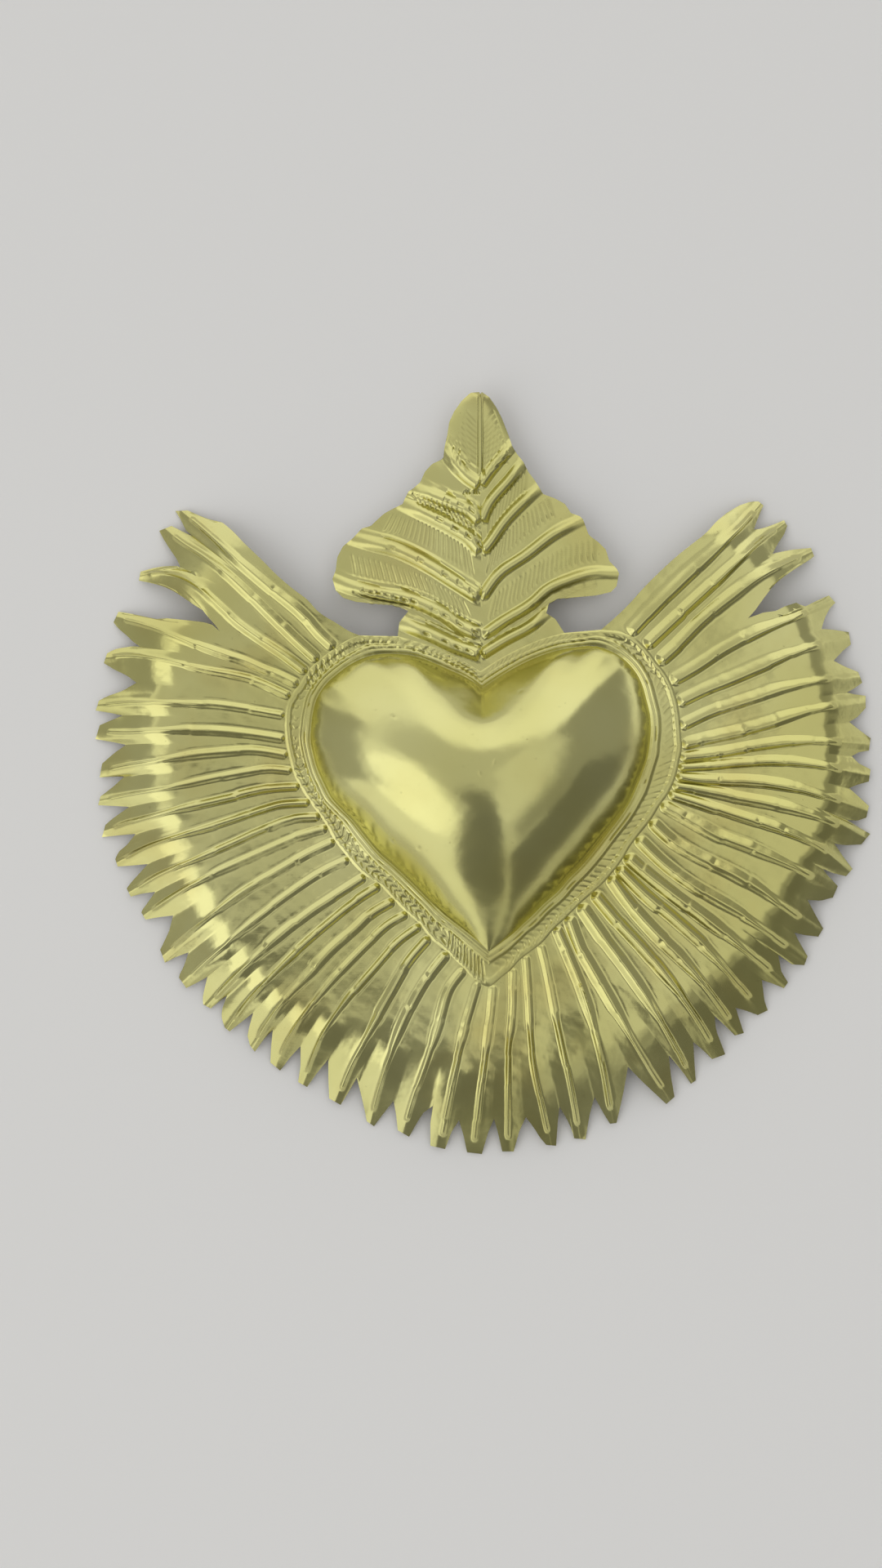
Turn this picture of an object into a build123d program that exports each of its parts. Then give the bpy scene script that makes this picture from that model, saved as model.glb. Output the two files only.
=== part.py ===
from build123d import *
import math
import os

os.makedirs("parts", exist_ok=True)

# Overall sizes, in millimetres
overall_width = 240.0
overall_height = 236.0
sheet_thickness = 0.5

# Heights of the sheet's underside above the plane that the tooth tips rest on
border_height = 9.0
crown_height = 10.6
notch_height = 4.6
raised_tip_height = 1.1

# The fan's ridges, each a narrow hollow rod that runs out into a tooth
ray_ridge_height = 1.5
ray_ridge_half_width = 1.7
tip_ridge_height = 0.7

# The bead at the heart's foot and the fine line along the border's outer edge
bead_width = 3.0
bead_height = 1.5
edge_line_width = 1.5
edge_line_height = 0.7

# The inflated heart
dome_height = 22.0
dome_wall = 0.6
dome_crown_radius = 40.0

# The crest's chevron ridges
crest_ridge_height = 1.6
crest_ridge_half_width = 1.9
crest_rim_drop = 0.8

# Hanging ring and the strap that holds it to the back
wire_radius = 1.0
ring_radius = 8.0
ring_play = 0.5
floor_gap = 0.3
strap_width = 4.0
strap_thickness = 0.8
strap_foot_length = 3.0
cut_overrun = 1.0

# The photograph's frame, in pixels: the outline's middle and its reach
outline_middle_px = (591.5, 946.5)
outline_reach_px = (949.0, 933.0)
heart_middle_px = (592.0, 955.0)

# Ridges from the left wing's top feather round the bottom to the right wing's top feather:
# a point half way along the ridge, then the two corners of its blunt tip
ray_px = [
    ((305, 692), (230, 625), (215, 627)),
    ((300, 722), (203, 643), (194, 652)),
    ((280, 752), (175, 698), (171, 711)),
    ((250, 796), (145, 749), (139, 762)),
    ((240, 825), (131, 800), (127, 812)),
    ((235, 866), (122, 857), (117, 870)),
    ((235, 898), (122, 888), (117, 905)),
    ((235, 928), (123, 937), (122, 952)),
    ((240, 955), (124, 973), (120, 986)),
    ((250, 984), (130, 1009), (125, 1025)),
    ((260, 1012), (142, 1048), (144, 1061)),
    ((275, 1038), (155, 1088), (160, 1098)),
    ((290, 1060), (173, 1117), (178, 1126)),
    ((300, 1094), (196, 1163), (202, 1179)),
    ((322, 1130), (219, 1197), (228, 1210)),
    ((345, 1150), (249, 1230), (256, 1236)),
    ((370, 1160), (274, 1257), (281, 1263)),
    ((400, 1168), (305, 1280), (311, 1289)),
    ((413, 1195), (331, 1301), (342, 1311)),
    ((440, 1213), (366, 1327), (375, 1331)),
    ((467, 1237), (403, 1345), (416, 1353)),
    ((500, 1255), (449, 1373), (457, 1379)),
    ((537, 1262), (488, 1386), (500, 1393)),
    ((563, 1290), (528, 1404), (544, 1407)),
    ((594, 1300), (571, 1410), (590, 1413)),
    ((623, 1290), (615, 1409), (629, 1410)),
    ((655, 1285), (669, 1402), (681, 1402)),
    ((690, 1270), (702, 1394), (718, 1395)),
    ((722, 1250), (747, 1376), (755, 1375)),
    ((757, 1240), (816, 1351), (826, 1345)),
    ((780, 1195), (847, 1327), (853, 1323)),
    ((800, 1177), (872, 1297), (887, 1291)),
    ((825, 1163), (901, 1268), (911, 1265)),
    ((850, 1145), (926, 1243), (940, 1238)),
    ((860, 1122), (961, 1210), (965, 1201)),
    ((880, 1096), (984, 1181), (989, 1172)),
    ((900, 1068), (1003, 1146), (1008, 1136)),
    ((905, 1035), (1023, 1096), (1026, 1085)),
    ((920, 1005), (1040, 1071), (1044, 1063)),
    ((930, 980), (1058, 1032), (1065, 1022)),
    ((940, 955), (1062, 999), (1064, 987)),
    ((940, 936), (1065, 955), (1066, 942)),
    ((940, 911), (1066, 916), (1066, 904)),
    ((950, 882), (1061, 865), (1060, 851)),
    ((945, 850), (1056, 834), (1051, 823)),
    ((935, 822), (1041, 787), (1039, 774)),
    ((920, 779), (1023, 738), (1015, 729)),
    ((890, 735), (997, 681), (993, 671)),
    ((870, 705), (964, 644), (959, 637)),
    ((852, 688), (935, 619), (929, 614)),
]

# The bottom of the notch after each tooth but the last; two of them are the long slits
notch_px = [
    (236, 657), (222, 699), (269, 773), (173, 793), (168, 836), (150, 876), (154, 912),
    (152, 951), (158, 988), (167, 1022), (181, 1058), (190, 1092), (212, 1121), (231, 1166),
    (254, 1196), (278, 1219), (310, 1240), (334, 1261), (368, 1281), (402, 1297), (437, 1320),
    (482, 1348), (530, 1354), (562, 1372), (605, 1370), (644, 1368), (685, 1355), (728, 1343),
    (769, 1306), (819, 1292), (849, 1276), (875, 1244), (901, 1234), (933, 1200), (953, 1169),
    (973, 1142), (989, 1102), (1008, 1064), (1022, 1033), (1037, 1004), (1040, 965), (1043, 926),
    (1040, 884), (1037, 848), (1021, 809), (1006, 770), (916, 757), (946, 678), (923, 648),
]

# The rounded root of each ridge beside the border
root_px = [
    (401, 786), (385, 803), (367, 818), (363, 838), (352, 853), (346, 880), (348, 908),
    (345, 926), (355, 946), (366, 965), (377, 984), (388, 1002), (397, 1016), (408, 1031),
    (427, 1053), (447, 1075), (466, 1083), (482, 1106), (498, 1120), (516, 1134), (525, 1153),
    (546, 1176), (569, 1188), (584, 1207), (604, 1207), (629, 1187), (646, 1172), (663, 1158),
    (687, 1150), (700, 1135), (714, 1112), (730, 1098), (748, 1079), (763, 1069), (768, 1050),
    (782, 1027), (798, 1006), (812, 988), (822, 974), (824, 962), (829, 951), (832, 940),
    (836, 928), (838, 912), (838, 890), (834, 862), (826, 835), (806, 812), (795, 790),
    (772, 772),
]

# The wings' free upper edges, from the border to the first corner of the outermost tip
left_wing_edge_px = [(440, 779), (385, 745), (330, 698), (280, 647), (240, 630)]
right_wing_edge_px = [(735, 771), (770, 743), (830, 680), (880, 637), (918, 615)]

# Bulging sides of the teeth beside the two slits, from the tooth's corner towards the slit
slit_side_px = {
    ("after", 2): [(212, 720), (242, 743)],
    ("before", 3): [(205, 757), (250, 762)],
    ("after", 46): [(980, 740), (940, 749)],
    ("before", 47): [(960, 704), (938, 730)],
}

# The border's outer line from the left wing round the bottom to the right wing
border_px = [
    (440, 779), (415, 788), (395, 800), (378, 818), (364, 838), (354, 856), (349, 880),
    (349, 905), (352, 928), (359, 950), (368, 967), (380, 985), (391, 1001), (402, 1017),
    (415, 1034), (433, 1056), (452, 1075), (470, 1088), (487, 1106), (503, 1121), (520, 1138),
    (532, 1153), (551, 1175), (572, 1190), (594, 1204), (609, 1202), (627, 1184), (645, 1170),
    (662, 1156), (683, 1143), (697, 1125), (712, 1104), (729, 1089), (746, 1072), (760, 1057),
    (768, 1040), (781, 1022), (796, 1002), (809, 984), (818, 970), (824, 955), (829, 938),
    (832, 920), (832, 900), (830, 878), (825, 855), (817, 835), (806, 815), (795, 798),
    (784, 783), (765, 771), (735, 771),
]

# The foot of the inflated heart, from the cleft round the left lobe and the bottom tip
foot_px = [
    (592, 845), (575, 835), (550, 820), (525, 810), (500, 803), (475, 800), (450, 803),
    (430, 810), (410, 822), (395, 840), (385, 857), (381, 875), (381, 903), (386, 935),
    (393, 957), (405, 977), (420, 997), (437, 1020), (455, 1042), (475, 1062), (495, 1080),
    (520, 1103), (550, 1128), (575, 1148), (598, 1163), (622, 1145), (645, 1125), (670, 1100),
    (700, 1070), (722, 1049), (745, 1022), (760, 1002), (772, 980), (782, 962), (790, 945),
    (795, 925), (797, 900), (796, 880), (793, 862), (787, 845), (780, 827), (768, 812),
    (750, 801), (728, 796), (700, 798), (670, 807), (640, 822), (612, 837),
]

# The crest: its line to the heart's border, then for each line across it the point on the
# midrib, the ends at the left and right outline, and whether that line is a ridge
neck_left_px = [(588, 820), (570, 810), (545, 797), (515, 786), (488, 779)]
neck_right_px = [(588, 820), (610, 808), (640, 792), (665, 782), (691, 775)]
crest_px = [
    ((586, 545), (584, 480), (584, 480), False),
    ((586, 553), (566, 491), (600, 489), False),
    ((587, 563), (551, 515), (613, 514), False),
    ((588, 575), (546, 538), (621, 532), False),
    ((590, 593), (544, 550), (629, 549), True),
    ((590, 611), (543, 563), (638, 563), False),
    ((589, 622), (521, 578), (643, 570), False),
    ((588, 638), (511, 597), (649, 579), True),
    ((589, 655), (499, 602), (657, 591), False),
    ((591, 672), (493, 616), (664, 601), True),
    ((591, 690), (478, 623), (690, 616), False),
    ((590, 712), (457, 641), (699, 628), False),
    ((589, 732), (433, 656), (714, 637), True),
    ((589, 748), (413, 682), (721, 656), False),
    ((589, 763), (406, 702), (744, 675), False),
    ((589, 779), (410, 719), (757, 704), True),
    ((589, 790), (440, 739), (740, 728), False),
    ((589, 797), (499, 748), (668, 745), False),
    ((588, 806), (489, 766), (683, 762), True),
]

# Shares of a line's length, from its root to its end
ray_station_shares = (0.0, 0.04, 0.09, 0.35, 0.62, 0.86, 1.0)
crest_station_shares = (0.0, 0.1, 0.4, 0.85, 1.0)
crown_share = 0.62
notch_reach_share = 0.87
ridge_rise_shares = (0.0, 0.1, 1.0, 1.0, 1.0, 0.8, None)
crest_rise_shares = (0.0, 1.0, 1.0, 0.8, 0.3)
crest_drop_shares = (0.0, 0.0, 0.16, 0.72, 1.0)
foot_limit_share = 0.6

# Every third tooth rests on the ground plane; the others stand a little above it
tip_lift_shares = (0.0, 0.6, 1.0)

# The heart's level curves: how high, how far out and how round each one is
dome_rise_shares = (0.0, 0.32, 0.60, 0.81, 0.94, 1.0)
dome_reach_shares = (0.97, 0.92, 0.81, 0.63, 0.40, 0.14)
dome_round_shares = (0.0, 0.08, 0.25, 0.5, 0.8, 1.0)
level_points = 48

mm_per_px_x = overall_width / outline_reach_px[0]
mm_per_px_y = overall_height / outline_reach_px[1]


def place(pixel):
    x = (pixel[0] - outline_middle_px[0]) * mm_per_px_x
    y = (outline_middle_px[1] - pixel[1]) * mm_per_px_y
    return (x, y)


def mix(start, end, share):
    return tuple(a + (b - a) * share for a, b in zip(start, end))


def distance(start, end):
    return math.hypot(end[0] - start[0], end[1] - start[1])


def along(path, share):
    # The point at a share of a path's length
    spans = [distance(a, b) for a, b in zip(path, path[1:])]
    left = share * sum(spans)
    for start, end, span in zip(path, path[1:], spans):
        if left <= span:
            return mix(start, end, left / span)
        left -= span
    return path[-1]


heart_middle = place(heart_middle_px)


def bearing(point):
    return math.atan2(point[1] - heart_middle[1], point[0] - heart_middle[0])


def reach_table(pixels):
    points = [place(pixel) for pixel in pixels]
    return sorted((bearing(point), distance(heart_middle, point)) for point in points)


def reach_at(table, angle):
    # The outline's reach from the heart's middle in one direction
    wrapped = [(table[-1][0] - 2 * math.pi, table[-1][1])] + table
    wrapped.append((table[0][0] + 2 * math.pi, table[0][1]))
    for (low, reach_low), (high, reach_high) in zip(wrapped, wrapped[1:]):
        if low <= angle <= high:
            return reach_low + (reach_high - reach_low) * (angle - low) / (high - low)
    return wrapped[-1][1]


def polar_point(angle, reach):
    return (heart_middle[0] + reach * math.cos(angle), heart_middle[1] + reach * math.sin(angle))


border_reach = reach_table(border_px)
foot_reach = reach_table(foot_px)


def flat_face(points):
    return Face(Wire.make_polygon([Vector(*point) for point in points], close=True))


def add_patch(faces, corners):
    # Two triangles between four corners, or one where two corners meet
    first, second, third, fourth = corners
    if len({first, second, third}) == 3:
        faces.append(flat_face((first, second, third)))
    if len({first, third, fourth}) == 3:
        faces.append(flat_face((first, third, fourth)))


def raised(point):
    return (point[0], point[1], point[2] + sheet_thickness)


def wall(start, end):
    return flat_face((start, end, raised(end), raised(start)))


def pressed_sheet(columns, closed=False, open_start=False):
    # A solid sheet whose underside passes through every point of the columns. Each column
    # runs outwards, and the next one stands to its left.
    faces = []
    last = len(columns[0]) - 1
    pairs = list(zip(columns, columns[1:]))
    if closed:
        pairs.append((columns[-1], columns[0]))
    for left, right in pairs:
        for step in range(last):
            top = (left[step], left[step + 1], right[step + 1], right[step])
            add_patch(faces, tuple(raised(point) for point in top))
            add_patch(faces, (left[step], right[step], right[step + 1], left[step + 1]))
        faces.append(wall(left[last], right[last]))
        if not open_start:
            faces.append(wall(right[0], left[0]))
    if not closed:
        for start, end in zip(columns[0], columns[0][1:]):
            faces.append(wall(start, end))
        for start, end in zip(columns[-1], columns[-1][1:]):
            faces.append(wall(end, start))
    return Solid(Shell(faces))


# The rays and feathers

def sheet_level(reach_share, tip_height):
    # The underside's height along a ray: up to the crown, then down to the tip
    if reach_share <= crown_share:
        return border_height + (crown_height - border_height) * reach_share / crown_share
    beyond_share = (reach_share - crown_share) / (1 - crown_share)
    if tip_height is None:
        beyond_share = (reach_share - crown_share) / (notch_reach_share - crown_share)
        return crown_height + (notch_height - crown_height) * beyond_share
    return crown_height + (tip_height - crown_height) * beyond_share


ray_count = len(ray_px)
border_starts = [place(left_wing_edge_px[0])]
for before, after in zip(root_px, root_px[1:]):
    toward = bearing(place(mix(before, after, 0.5)))
    border_starts.append(polar_point(toward, reach_at(border_reach, toward)))
border_starts.append(place(right_wing_edge_px[0]))


def valley_path(index):
    # The line between ridge index - 1 and ridge index, out to the notch or the wing's edge
    if index == 0:
        return [place(pixel) for pixel in left_wing_edge_px]
    if index == ray_count:
        return [place(pixel) for pixel in right_wing_edge_px]
    middle = mix(place(ray_px[index - 1][0]), place(ray_px[index][0]), 0.5)
    return [border_starts[index], middle, place(notch_px[index - 1])]


def valley_column(index):
    path = valley_path(index)
    column = []
    for share in ray_station_shares:
        x, y = along(path, share)
        free_edge = index in (0, ray_count)
        reach_share = share if free_edge else share * notch_reach_share
        tip_height = raised_tip_height if free_edge else None
        column.append((x, y, sheet_level(reach_share, tip_height)))
    return column


def between_columns(inner, outer, share, end):
    # A line between two others that ends at a point of its own
    column = [mix(a, b, share) for a, b in zip(inner, outer)]
    column[-1] = (*end, mix(inner[-1], outer[-1], share)[2])
    return column


def ray_columns(index):
    # A ridge with its two feet, and the valley lines on either side
    middle, first_corner, last_corner = (place(pixel) for pixel in ray_px[index])
    tip_height = raised_tip_height * tip_lift_shares[index % len(tip_lift_shares)]
    before = valley_column(index)
    after = valley_column(index + 1)
    start = mix(border_starts[index], border_starts[index + 1], 0.5)
    tip = mix(first_corner, last_corner, 0.5)
    ridge, feet = [], ([], [])
    for station, share in enumerate(ray_station_shares):
        point = along([start, middle, tip], share)
        level = sheet_level(share, tip_height)
        rise = tip_ridge_height
        if ridge_rise_shares[station] is not None:
            rise = ray_ridge_height * ridge_rise_shares[station]
        ridge.append((*point, level + rise))
        for foot, valley, corner in zip(feet, (before, after), (first_corner, last_corner)):
            if share == 1.0:
                foot.append((*corner, tip_height))
                continue
            gap = distance(point, valley[station])
            foot_share = min(foot_limit_share, ray_ridge_half_width / gap)
            foot.append(mix((*point, level), valley[station], foot_share))
    columns = [before]
    sides = slit_side_px.get(("before", index), [])
    for number, pixel in enumerate(reversed(sides), start=1):
        share = number / (len(sides) + 1)
        columns.append(between_columns(before, feet[0], share, place(pixel)))
    columns += [feet[0], ridge, feet[1]]
    sides = slit_side_px.get(("after", index), [])
    for number, pixel in enumerate(sides, start=1):
        share = number / (len(sides) + 1)
        columns.append(between_columns(feet[1], after, share, place(pixel)))
    return columns


def ray_sheet(first, last):
    columns = []
    for index in range(first, last + 1):
        columns += ray_columns(index)
    columns.append(valley_column(last + 1))
    return pressed_sheet(columns)


left_wing = ray_sheet(0, 2)
left_ray_fan = ray_sheet(3, 14)
lower_ray_fan = ray_sheet(15, 31)
right_ray_fan = ray_sheet(32, 46)
right_wing = ray_sheet(47, 49)


# The crest

def crest_column(midrib, end, is_ridge):
    column = []
    for station, share in enumerate(crest_station_shares):
        level = border_height - crest_rim_drop * crest_drop_shares[station]
        if is_ridge:
            level += crest_ridge_height * crest_rise_shares[station]
        column.append((*mix(midrib, end, share), level))
    return column


def neck_column(pixels):
    path = [place(pixel) for pixel in pixels]
    return [(*along(path, share), border_height) for share in crest_station_shares]


def crest_side(side, neck):
    # One half of the crest, from its tip down to the heart's border
    lines = [(place(row[0]), place(row[1 + side]), row[3]) for row in crest_px]
    columns = [crest_column(*lines[0])]
    for number, (midrib, end, is_ridge) in enumerate(lines[1:], start=1):
        if not is_ridge:
            columns.append(crest_column(midrib, end, False))
            continue
        above = lines[number - 1]
        below = (neck[0][:2], neck[-1][:2]) if number + 1 == len(lines) else lines[number + 1]
        for other in (above, below):
            ends = []
            for own, far in ((midrib, other[0]), (end, other[1])):
                share = min(foot_limit_share, crest_ridge_half_width / distance(own, far))
                ends.append(mix(own, far, share))
            columns.append(crest_column(*ends, False))
            if other is above:
                columns.append(crest_column(midrib, end, True))
    columns.append(neck)
    return columns


neck_left = neck_column(neck_left_px)
neck_right = neck_column(neck_right_px)
left_half = crest_side(0, neck_left)
right_half = crest_side(1, neck_right)
flame_crest = pressed_sheet(right_half[::-1] + left_half[1:], open_start=True)


# The roped border with its bead and its outer line

outer_points = list(border_starts)
outer_points += [point[:2] for point in reversed(neck_right)]
outer_points += [point[:2] for point in neck_left[1:]]
foot_points = [polar_point(bearing(p), reach_at(foot_reach, bearing(p))) for p in outer_points]


def border_column(foot, outer):
    width = distance(foot, outer)
    offsets = (0.0, bead_width / 2, bead_width, width - edge_line_width,
               width - edge_line_width / 2, width)
    rises = (0.0, bead_height, 0.0, 0.0, edge_line_height, 0.0)
    return [(*mix(foot, outer, offset / width), border_height + rise)
            for offset, rise in zip(offsets, rises)]


roped_border = pressed_sheet([border_column(f, o) for f, o in zip(foot_points, outer_points)],
                             closed=True)


# The inflated heart, open underneath

def level_curve(rise, reach_share, round_share, inset):
    points = []
    for number in range(level_points):
        angle = -math.pi + 2 * math.pi * number / level_points
        heart_reach = reach_at(foot_reach, angle)
        reach = heart_reach + (dome_crown_radius - heart_reach) * round_share
        x, y = polar_point(angle, reach * reach_share - inset)
        points.append(Vector(x, y, border_height + rise))
    return Wire([Edge.make_spline(points, periodic=True)])


def heart_solid(inset, drop, foot_rise):
    levels = []
    rows = zip(dome_rise_shares, dome_reach_shares, dome_round_shares)
    for rise_share, reach_share, round_share in rows:
        rise = dome_height * rise_share - drop
        if rise_share == 0:
            rise = foot_rise
        levels.append(level_curve(rise, reach_share, round_share, inset))
    return Solid.make_loft(levels)


flange_face = flat_face([(*point, border_height) for point in foot_points])
flange = Solid.extrude(flange_face, Vector(0, 0, sheet_thickness))
heart_dome = flange + heart_solid(0.0, 0.0, 0.0) - heart_solid(dome_wall, dome_wall, -cut_overrun)


# The strap behind the crest, the ring in it and the solder at its feet

strap_px = (589, 757)
strap_y = place(strap_px)[1]
tunnel_radius = wire_radius + ring_play
hinge_height = border_height - tunnel_radius
strap_radius = tunnel_radius + strap_thickness
foot_reach_y = strap_radius + strap_foot_length
axis_point = (0, strap_y, hinge_height)


def bar_across(radius, length):
    return Pos(*axis_point) * Rot(0, 90, 0) * Cylinder(radius, length)


def block(half_width, low_y, high_y, low_z, high_z):
    size = (2 * half_width, high_y - low_y, high_z - low_z)
    centre = (0, (low_y + high_y) / 2 + strap_y, (low_z + high_z) / 2)
    return Pos(*centre) * Box(*size)


half_strap = strap_width / 2
feet_plate = block(half_strap, -foot_reach_y, foot_reach_y,
                   border_height - strap_thickness, border_height)
arch = bar_across(strap_radius, strap_width)
arch += block(half_strap, -strap_radius, strap_radius, hinge_height, border_height)
tunnel = bar_across(tunnel_radius, strap_width + 2 * cut_overrun)
tunnel += block(half_strap + cut_overrun, -tunnel_radius, tunnel_radius,
                hinge_height, border_height + cut_overrun)
above_back = block(half_strap + cut_overrun, -foot_reach_y, foot_reach_y,
                   border_height, border_height + strap_radius)
hanger_strap = feet_plate + arch - tunnel - above_back

solder_beads = []
for side in (-1, 1):
    heel = strap_y + side * foot_reach_y
    toe = heel + side * strap_thickness
    profile = flat_face([(-half_strap, heel, border_height), (-half_strap, toe, border_height),
                         (-half_strap, heel, border_height - strap_thickness)])
    solder_beads.append(Solid.extrude(profile, Vector(strap_width, 0, 0)))
strap_solder = Compound(solder_beads)

# The ring hangs from the strap until its far side is just above the ground plane, or
# straight down where there is room for that
hang_depth = hinge_height - wire_radius - floor_gap
hang_share = hang_depth / (2 * ring_radius)
hang_angle = 90 if hang_share > 1 else math.degrees(math.asin(hang_share))
ring = Torus(ring_radius, wire_radius)
hanger_ring = Pos(*axis_point) * Rot(-hang_angle, 0, 0) * Pos(0, ring_radius, 0) * ring

nodes = {
    "heart_dome": heart_dome,
    "roped_border": roped_border,
    "flame_crest": flame_crest,
    "left_wing": left_wing,
    "right_wing": right_wing,
    "left_ray_fan": left_ray_fan,
    "lower_ray_fan": lower_ray_fan,
    "right_ray_fan": right_ray_fan,
    "hanger_strap": hanger_strap,
    "strap_solder": strap_solder,
    "hanger_ring": hanger_ring,
}
for name, shape in nodes.items():
    export_step(shape, f"parts/{name}.step")

print("ring hinge at", axis_point, "hangs at", hang_angle, "degrees")
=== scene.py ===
import functools
import math
import random

import bmesh
import bpy
import numpy as np
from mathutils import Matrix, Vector


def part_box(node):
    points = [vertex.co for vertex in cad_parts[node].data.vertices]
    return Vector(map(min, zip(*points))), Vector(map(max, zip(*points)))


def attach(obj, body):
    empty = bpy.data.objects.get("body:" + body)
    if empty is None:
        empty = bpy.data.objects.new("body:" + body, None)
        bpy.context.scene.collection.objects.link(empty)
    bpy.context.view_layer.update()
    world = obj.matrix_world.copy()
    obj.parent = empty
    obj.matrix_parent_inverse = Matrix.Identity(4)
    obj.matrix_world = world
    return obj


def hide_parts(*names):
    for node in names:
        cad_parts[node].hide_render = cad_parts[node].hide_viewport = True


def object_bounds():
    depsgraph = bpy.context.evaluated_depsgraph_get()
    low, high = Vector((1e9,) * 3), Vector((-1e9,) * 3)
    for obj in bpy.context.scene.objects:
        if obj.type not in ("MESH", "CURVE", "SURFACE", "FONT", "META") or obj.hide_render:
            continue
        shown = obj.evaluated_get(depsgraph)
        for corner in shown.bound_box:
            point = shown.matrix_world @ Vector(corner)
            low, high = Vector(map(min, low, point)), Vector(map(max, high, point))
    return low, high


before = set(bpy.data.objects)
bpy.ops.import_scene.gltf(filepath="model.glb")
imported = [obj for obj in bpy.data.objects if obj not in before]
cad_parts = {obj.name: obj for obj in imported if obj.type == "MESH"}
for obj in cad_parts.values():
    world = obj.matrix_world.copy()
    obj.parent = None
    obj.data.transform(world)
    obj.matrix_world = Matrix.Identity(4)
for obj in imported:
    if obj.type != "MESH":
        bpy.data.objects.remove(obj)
cadBounds = [list(corner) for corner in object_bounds()]

# How the photo's pixels lie on the charm, and how high the camera was

photo = {
    "middlePx": (591.5, 946.5),      # middle of the charm's outline
    "reachPx": (949.0, 933.0),       # its width and height
    "framePx": (1080.0, 1920.0),
    "cameraHeight": 0.45,
    "sensorWidth": 36.0,             # in millimetres
}
metresPerPx = ((cadBounds[1][0] - cadBounds[0][0]) / photo["reachPx"][0],
               (cadBounds[1][1] - cadBounds[0][1]) / photo["reachPx"][1])
cameraSpot = ((photo["framePx"][0] / 2 - photo["middlePx"][0]) * metresPerPx[0],
              (photo["middlePx"][1] - photo["framePx"][1] / 2) * metresPerPx[1])

sheet = {
    "thickness": 0.0005,
    "waveHeight": 0.00009,           # slow unevenness left by the hammer
    "waveLength": 0.016,
    "waveCount": 14,
    "waveSeed": 11,
    "rippleHeight": 0.000022,
    "rippleLength": 0.0048,
    "rippleCount": 18,
    "rippleSeed": 12,
    "lengthDraw": (0.7, 1.7),        # shares of those lengths
    "sharpAngle": 65.0,              # in degrees; softer folds are shaded round
}
sheet["borderTop"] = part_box("roped_border")[0].z + sheet["thickness"]


def place(px, level):
    # Metres from pixels, for points that lie at a height above the floor
    px = np.asarray(px, float)
    lift = np.asarray(level, float) / photo["cameraHeight"]
    x = (px[..., 0] - photo["middlePx"][0]) * metresPerPx[0]
    y = (photo["middlePx"][1] - px[..., 1]) * metresPerPx[1]
    return x * (1 - lift) + cameraSpot[0] * lift, y * (1 - lift) + cameraSpot[1] * lift


def pathShares(points):
    # How far along its line each point lies, as a share of the line's length
    at = np.concatenate([[0], np.cumsum(np.hypot(*np.diff(points, axis=0).T))])
    return at / at[-1]


def smoothPath(points, shares):
    # A smooth line through points, read at shares of its length
    points = np.asarray(points, float)
    at = pathShares(points)
    lean = np.gradient(points, at, axis=0)
    low = np.clip(np.searchsorted(at, shares, side="right") - 1, 0, len(at) - 2)
    span = (at[low + 1] - at[low])[:, None]
    t = (shares[:, None] - at[low][:, None]) / span
    return ((2 * t**3 - 3 * t**2 + 1) * points[low] + (t**3 - 2 * t**2 + t) * span * lean[low]
            + (3 * t**2 - 2 * t**3) * points[low + 1] + (t**3 - t**2) * span * lean[low + 1])


def straightPath(points, shares):
    points = np.asarray(points, float)
    at = pathShares(points)
    return np.stack([np.interp(shares, at, points[:, 0]), np.interp(shares, at, points[:, 1])], 1)


def smoothStep(value, low, high):
    t = np.clip((value - low) / (high - low), 0, 1)
    return t * t * (3 - 2 * t)


def mound(gap, halfWidth):
    # One in the middle, falling to nothing at the half width
    return np.clip(1 - (gap / halfWidth) ** 2, 0, 1)


def bell(gap, halfWidth):
    return np.exp(-(gap / halfWidth) ** 2)


def softPositive(value, softness):
    # The value where it is well above zero, and nothing where it is well below
    return (value + np.sqrt(value ** 2 + softness ** 2)) / 2


def fullTurn(count):
    return np.linspace(0, 2 * math.pi, count, endpoint=False)


def direction(degrees):
    return np.array([math.cos(math.radians(degrees)), math.sin(math.radians(degrees))])


def makeWaves(length, count, seed):
    draw = random.Random(seed)
    group = []
    for _ in range(count):
        turn = draw.uniform(0, 2 * math.pi)
        pitch = 2 * math.pi / (length * draw.uniform(*sheet["lengthDraw"]))
        group.append((pitch * math.cos(turn), pitch * math.sin(turn), draw.uniform(0, 2 * math.pi)))
    return group


waves = [(sheet[kind + "Height"], makeWaves(sheet[kind + "Length"], sheet[kind + "Count"],
                                            sheet[kind + "Seed"])) for kind in ("wave", "ripple")]


def unevenness(x, y):
    return sum(height / math.sqrt(len(group)) * sum(np.sin(a * x + b * y + c) for a, b, c in group)
               for height, group in waves)


def addObject(name, content):
    piece = bpy.data.objects.new(name, content)
    bpy.context.scene.collection.objects.link(piece)
    return piece


def addMesh(name, points, edges, faces):
    mesh = bpy.data.meshes.new(name)
    mesh.from_pydata(points, edges, faces)
    if faces:
        mesh.validate()
        mesh.shade_smooth()
    return addObject(name, mesh)


def meshFromGrid(name, x, y, z, ring=False, poles=()):
    # A sheet from rows and columns of points, facing up when rows run out and columns left.
    # In a ring the last column meets the first, and the poles close it before the first row
    # and after the last one.
    rows, columns = x.shape
    points = np.stack([x, y, z], -1).reshape(-1, 3).tolist()
    row, column = np.meshgrid(np.arange(rows - 1), np.arange(columns if ring else columns - 1),
                              indexing="ij")
    a, b = (row * columns + column).ravel(), (row * columns + (column + 1) % columns).ravel()
    faces = np.stack([a, a + columns, b + columns, b], 1).tolist()
    for end, pole in enumerate(poles):
        points.append(pole)
        start = end * (rows - 1) * columns
        for k in range(columns):
            pair = (start + k, start + (k + 1) % columns)
            faces.append((len(points) - 1, *(pair[::-1] if end else pair)))
    return addMesh(name, points, [], faces)


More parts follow.
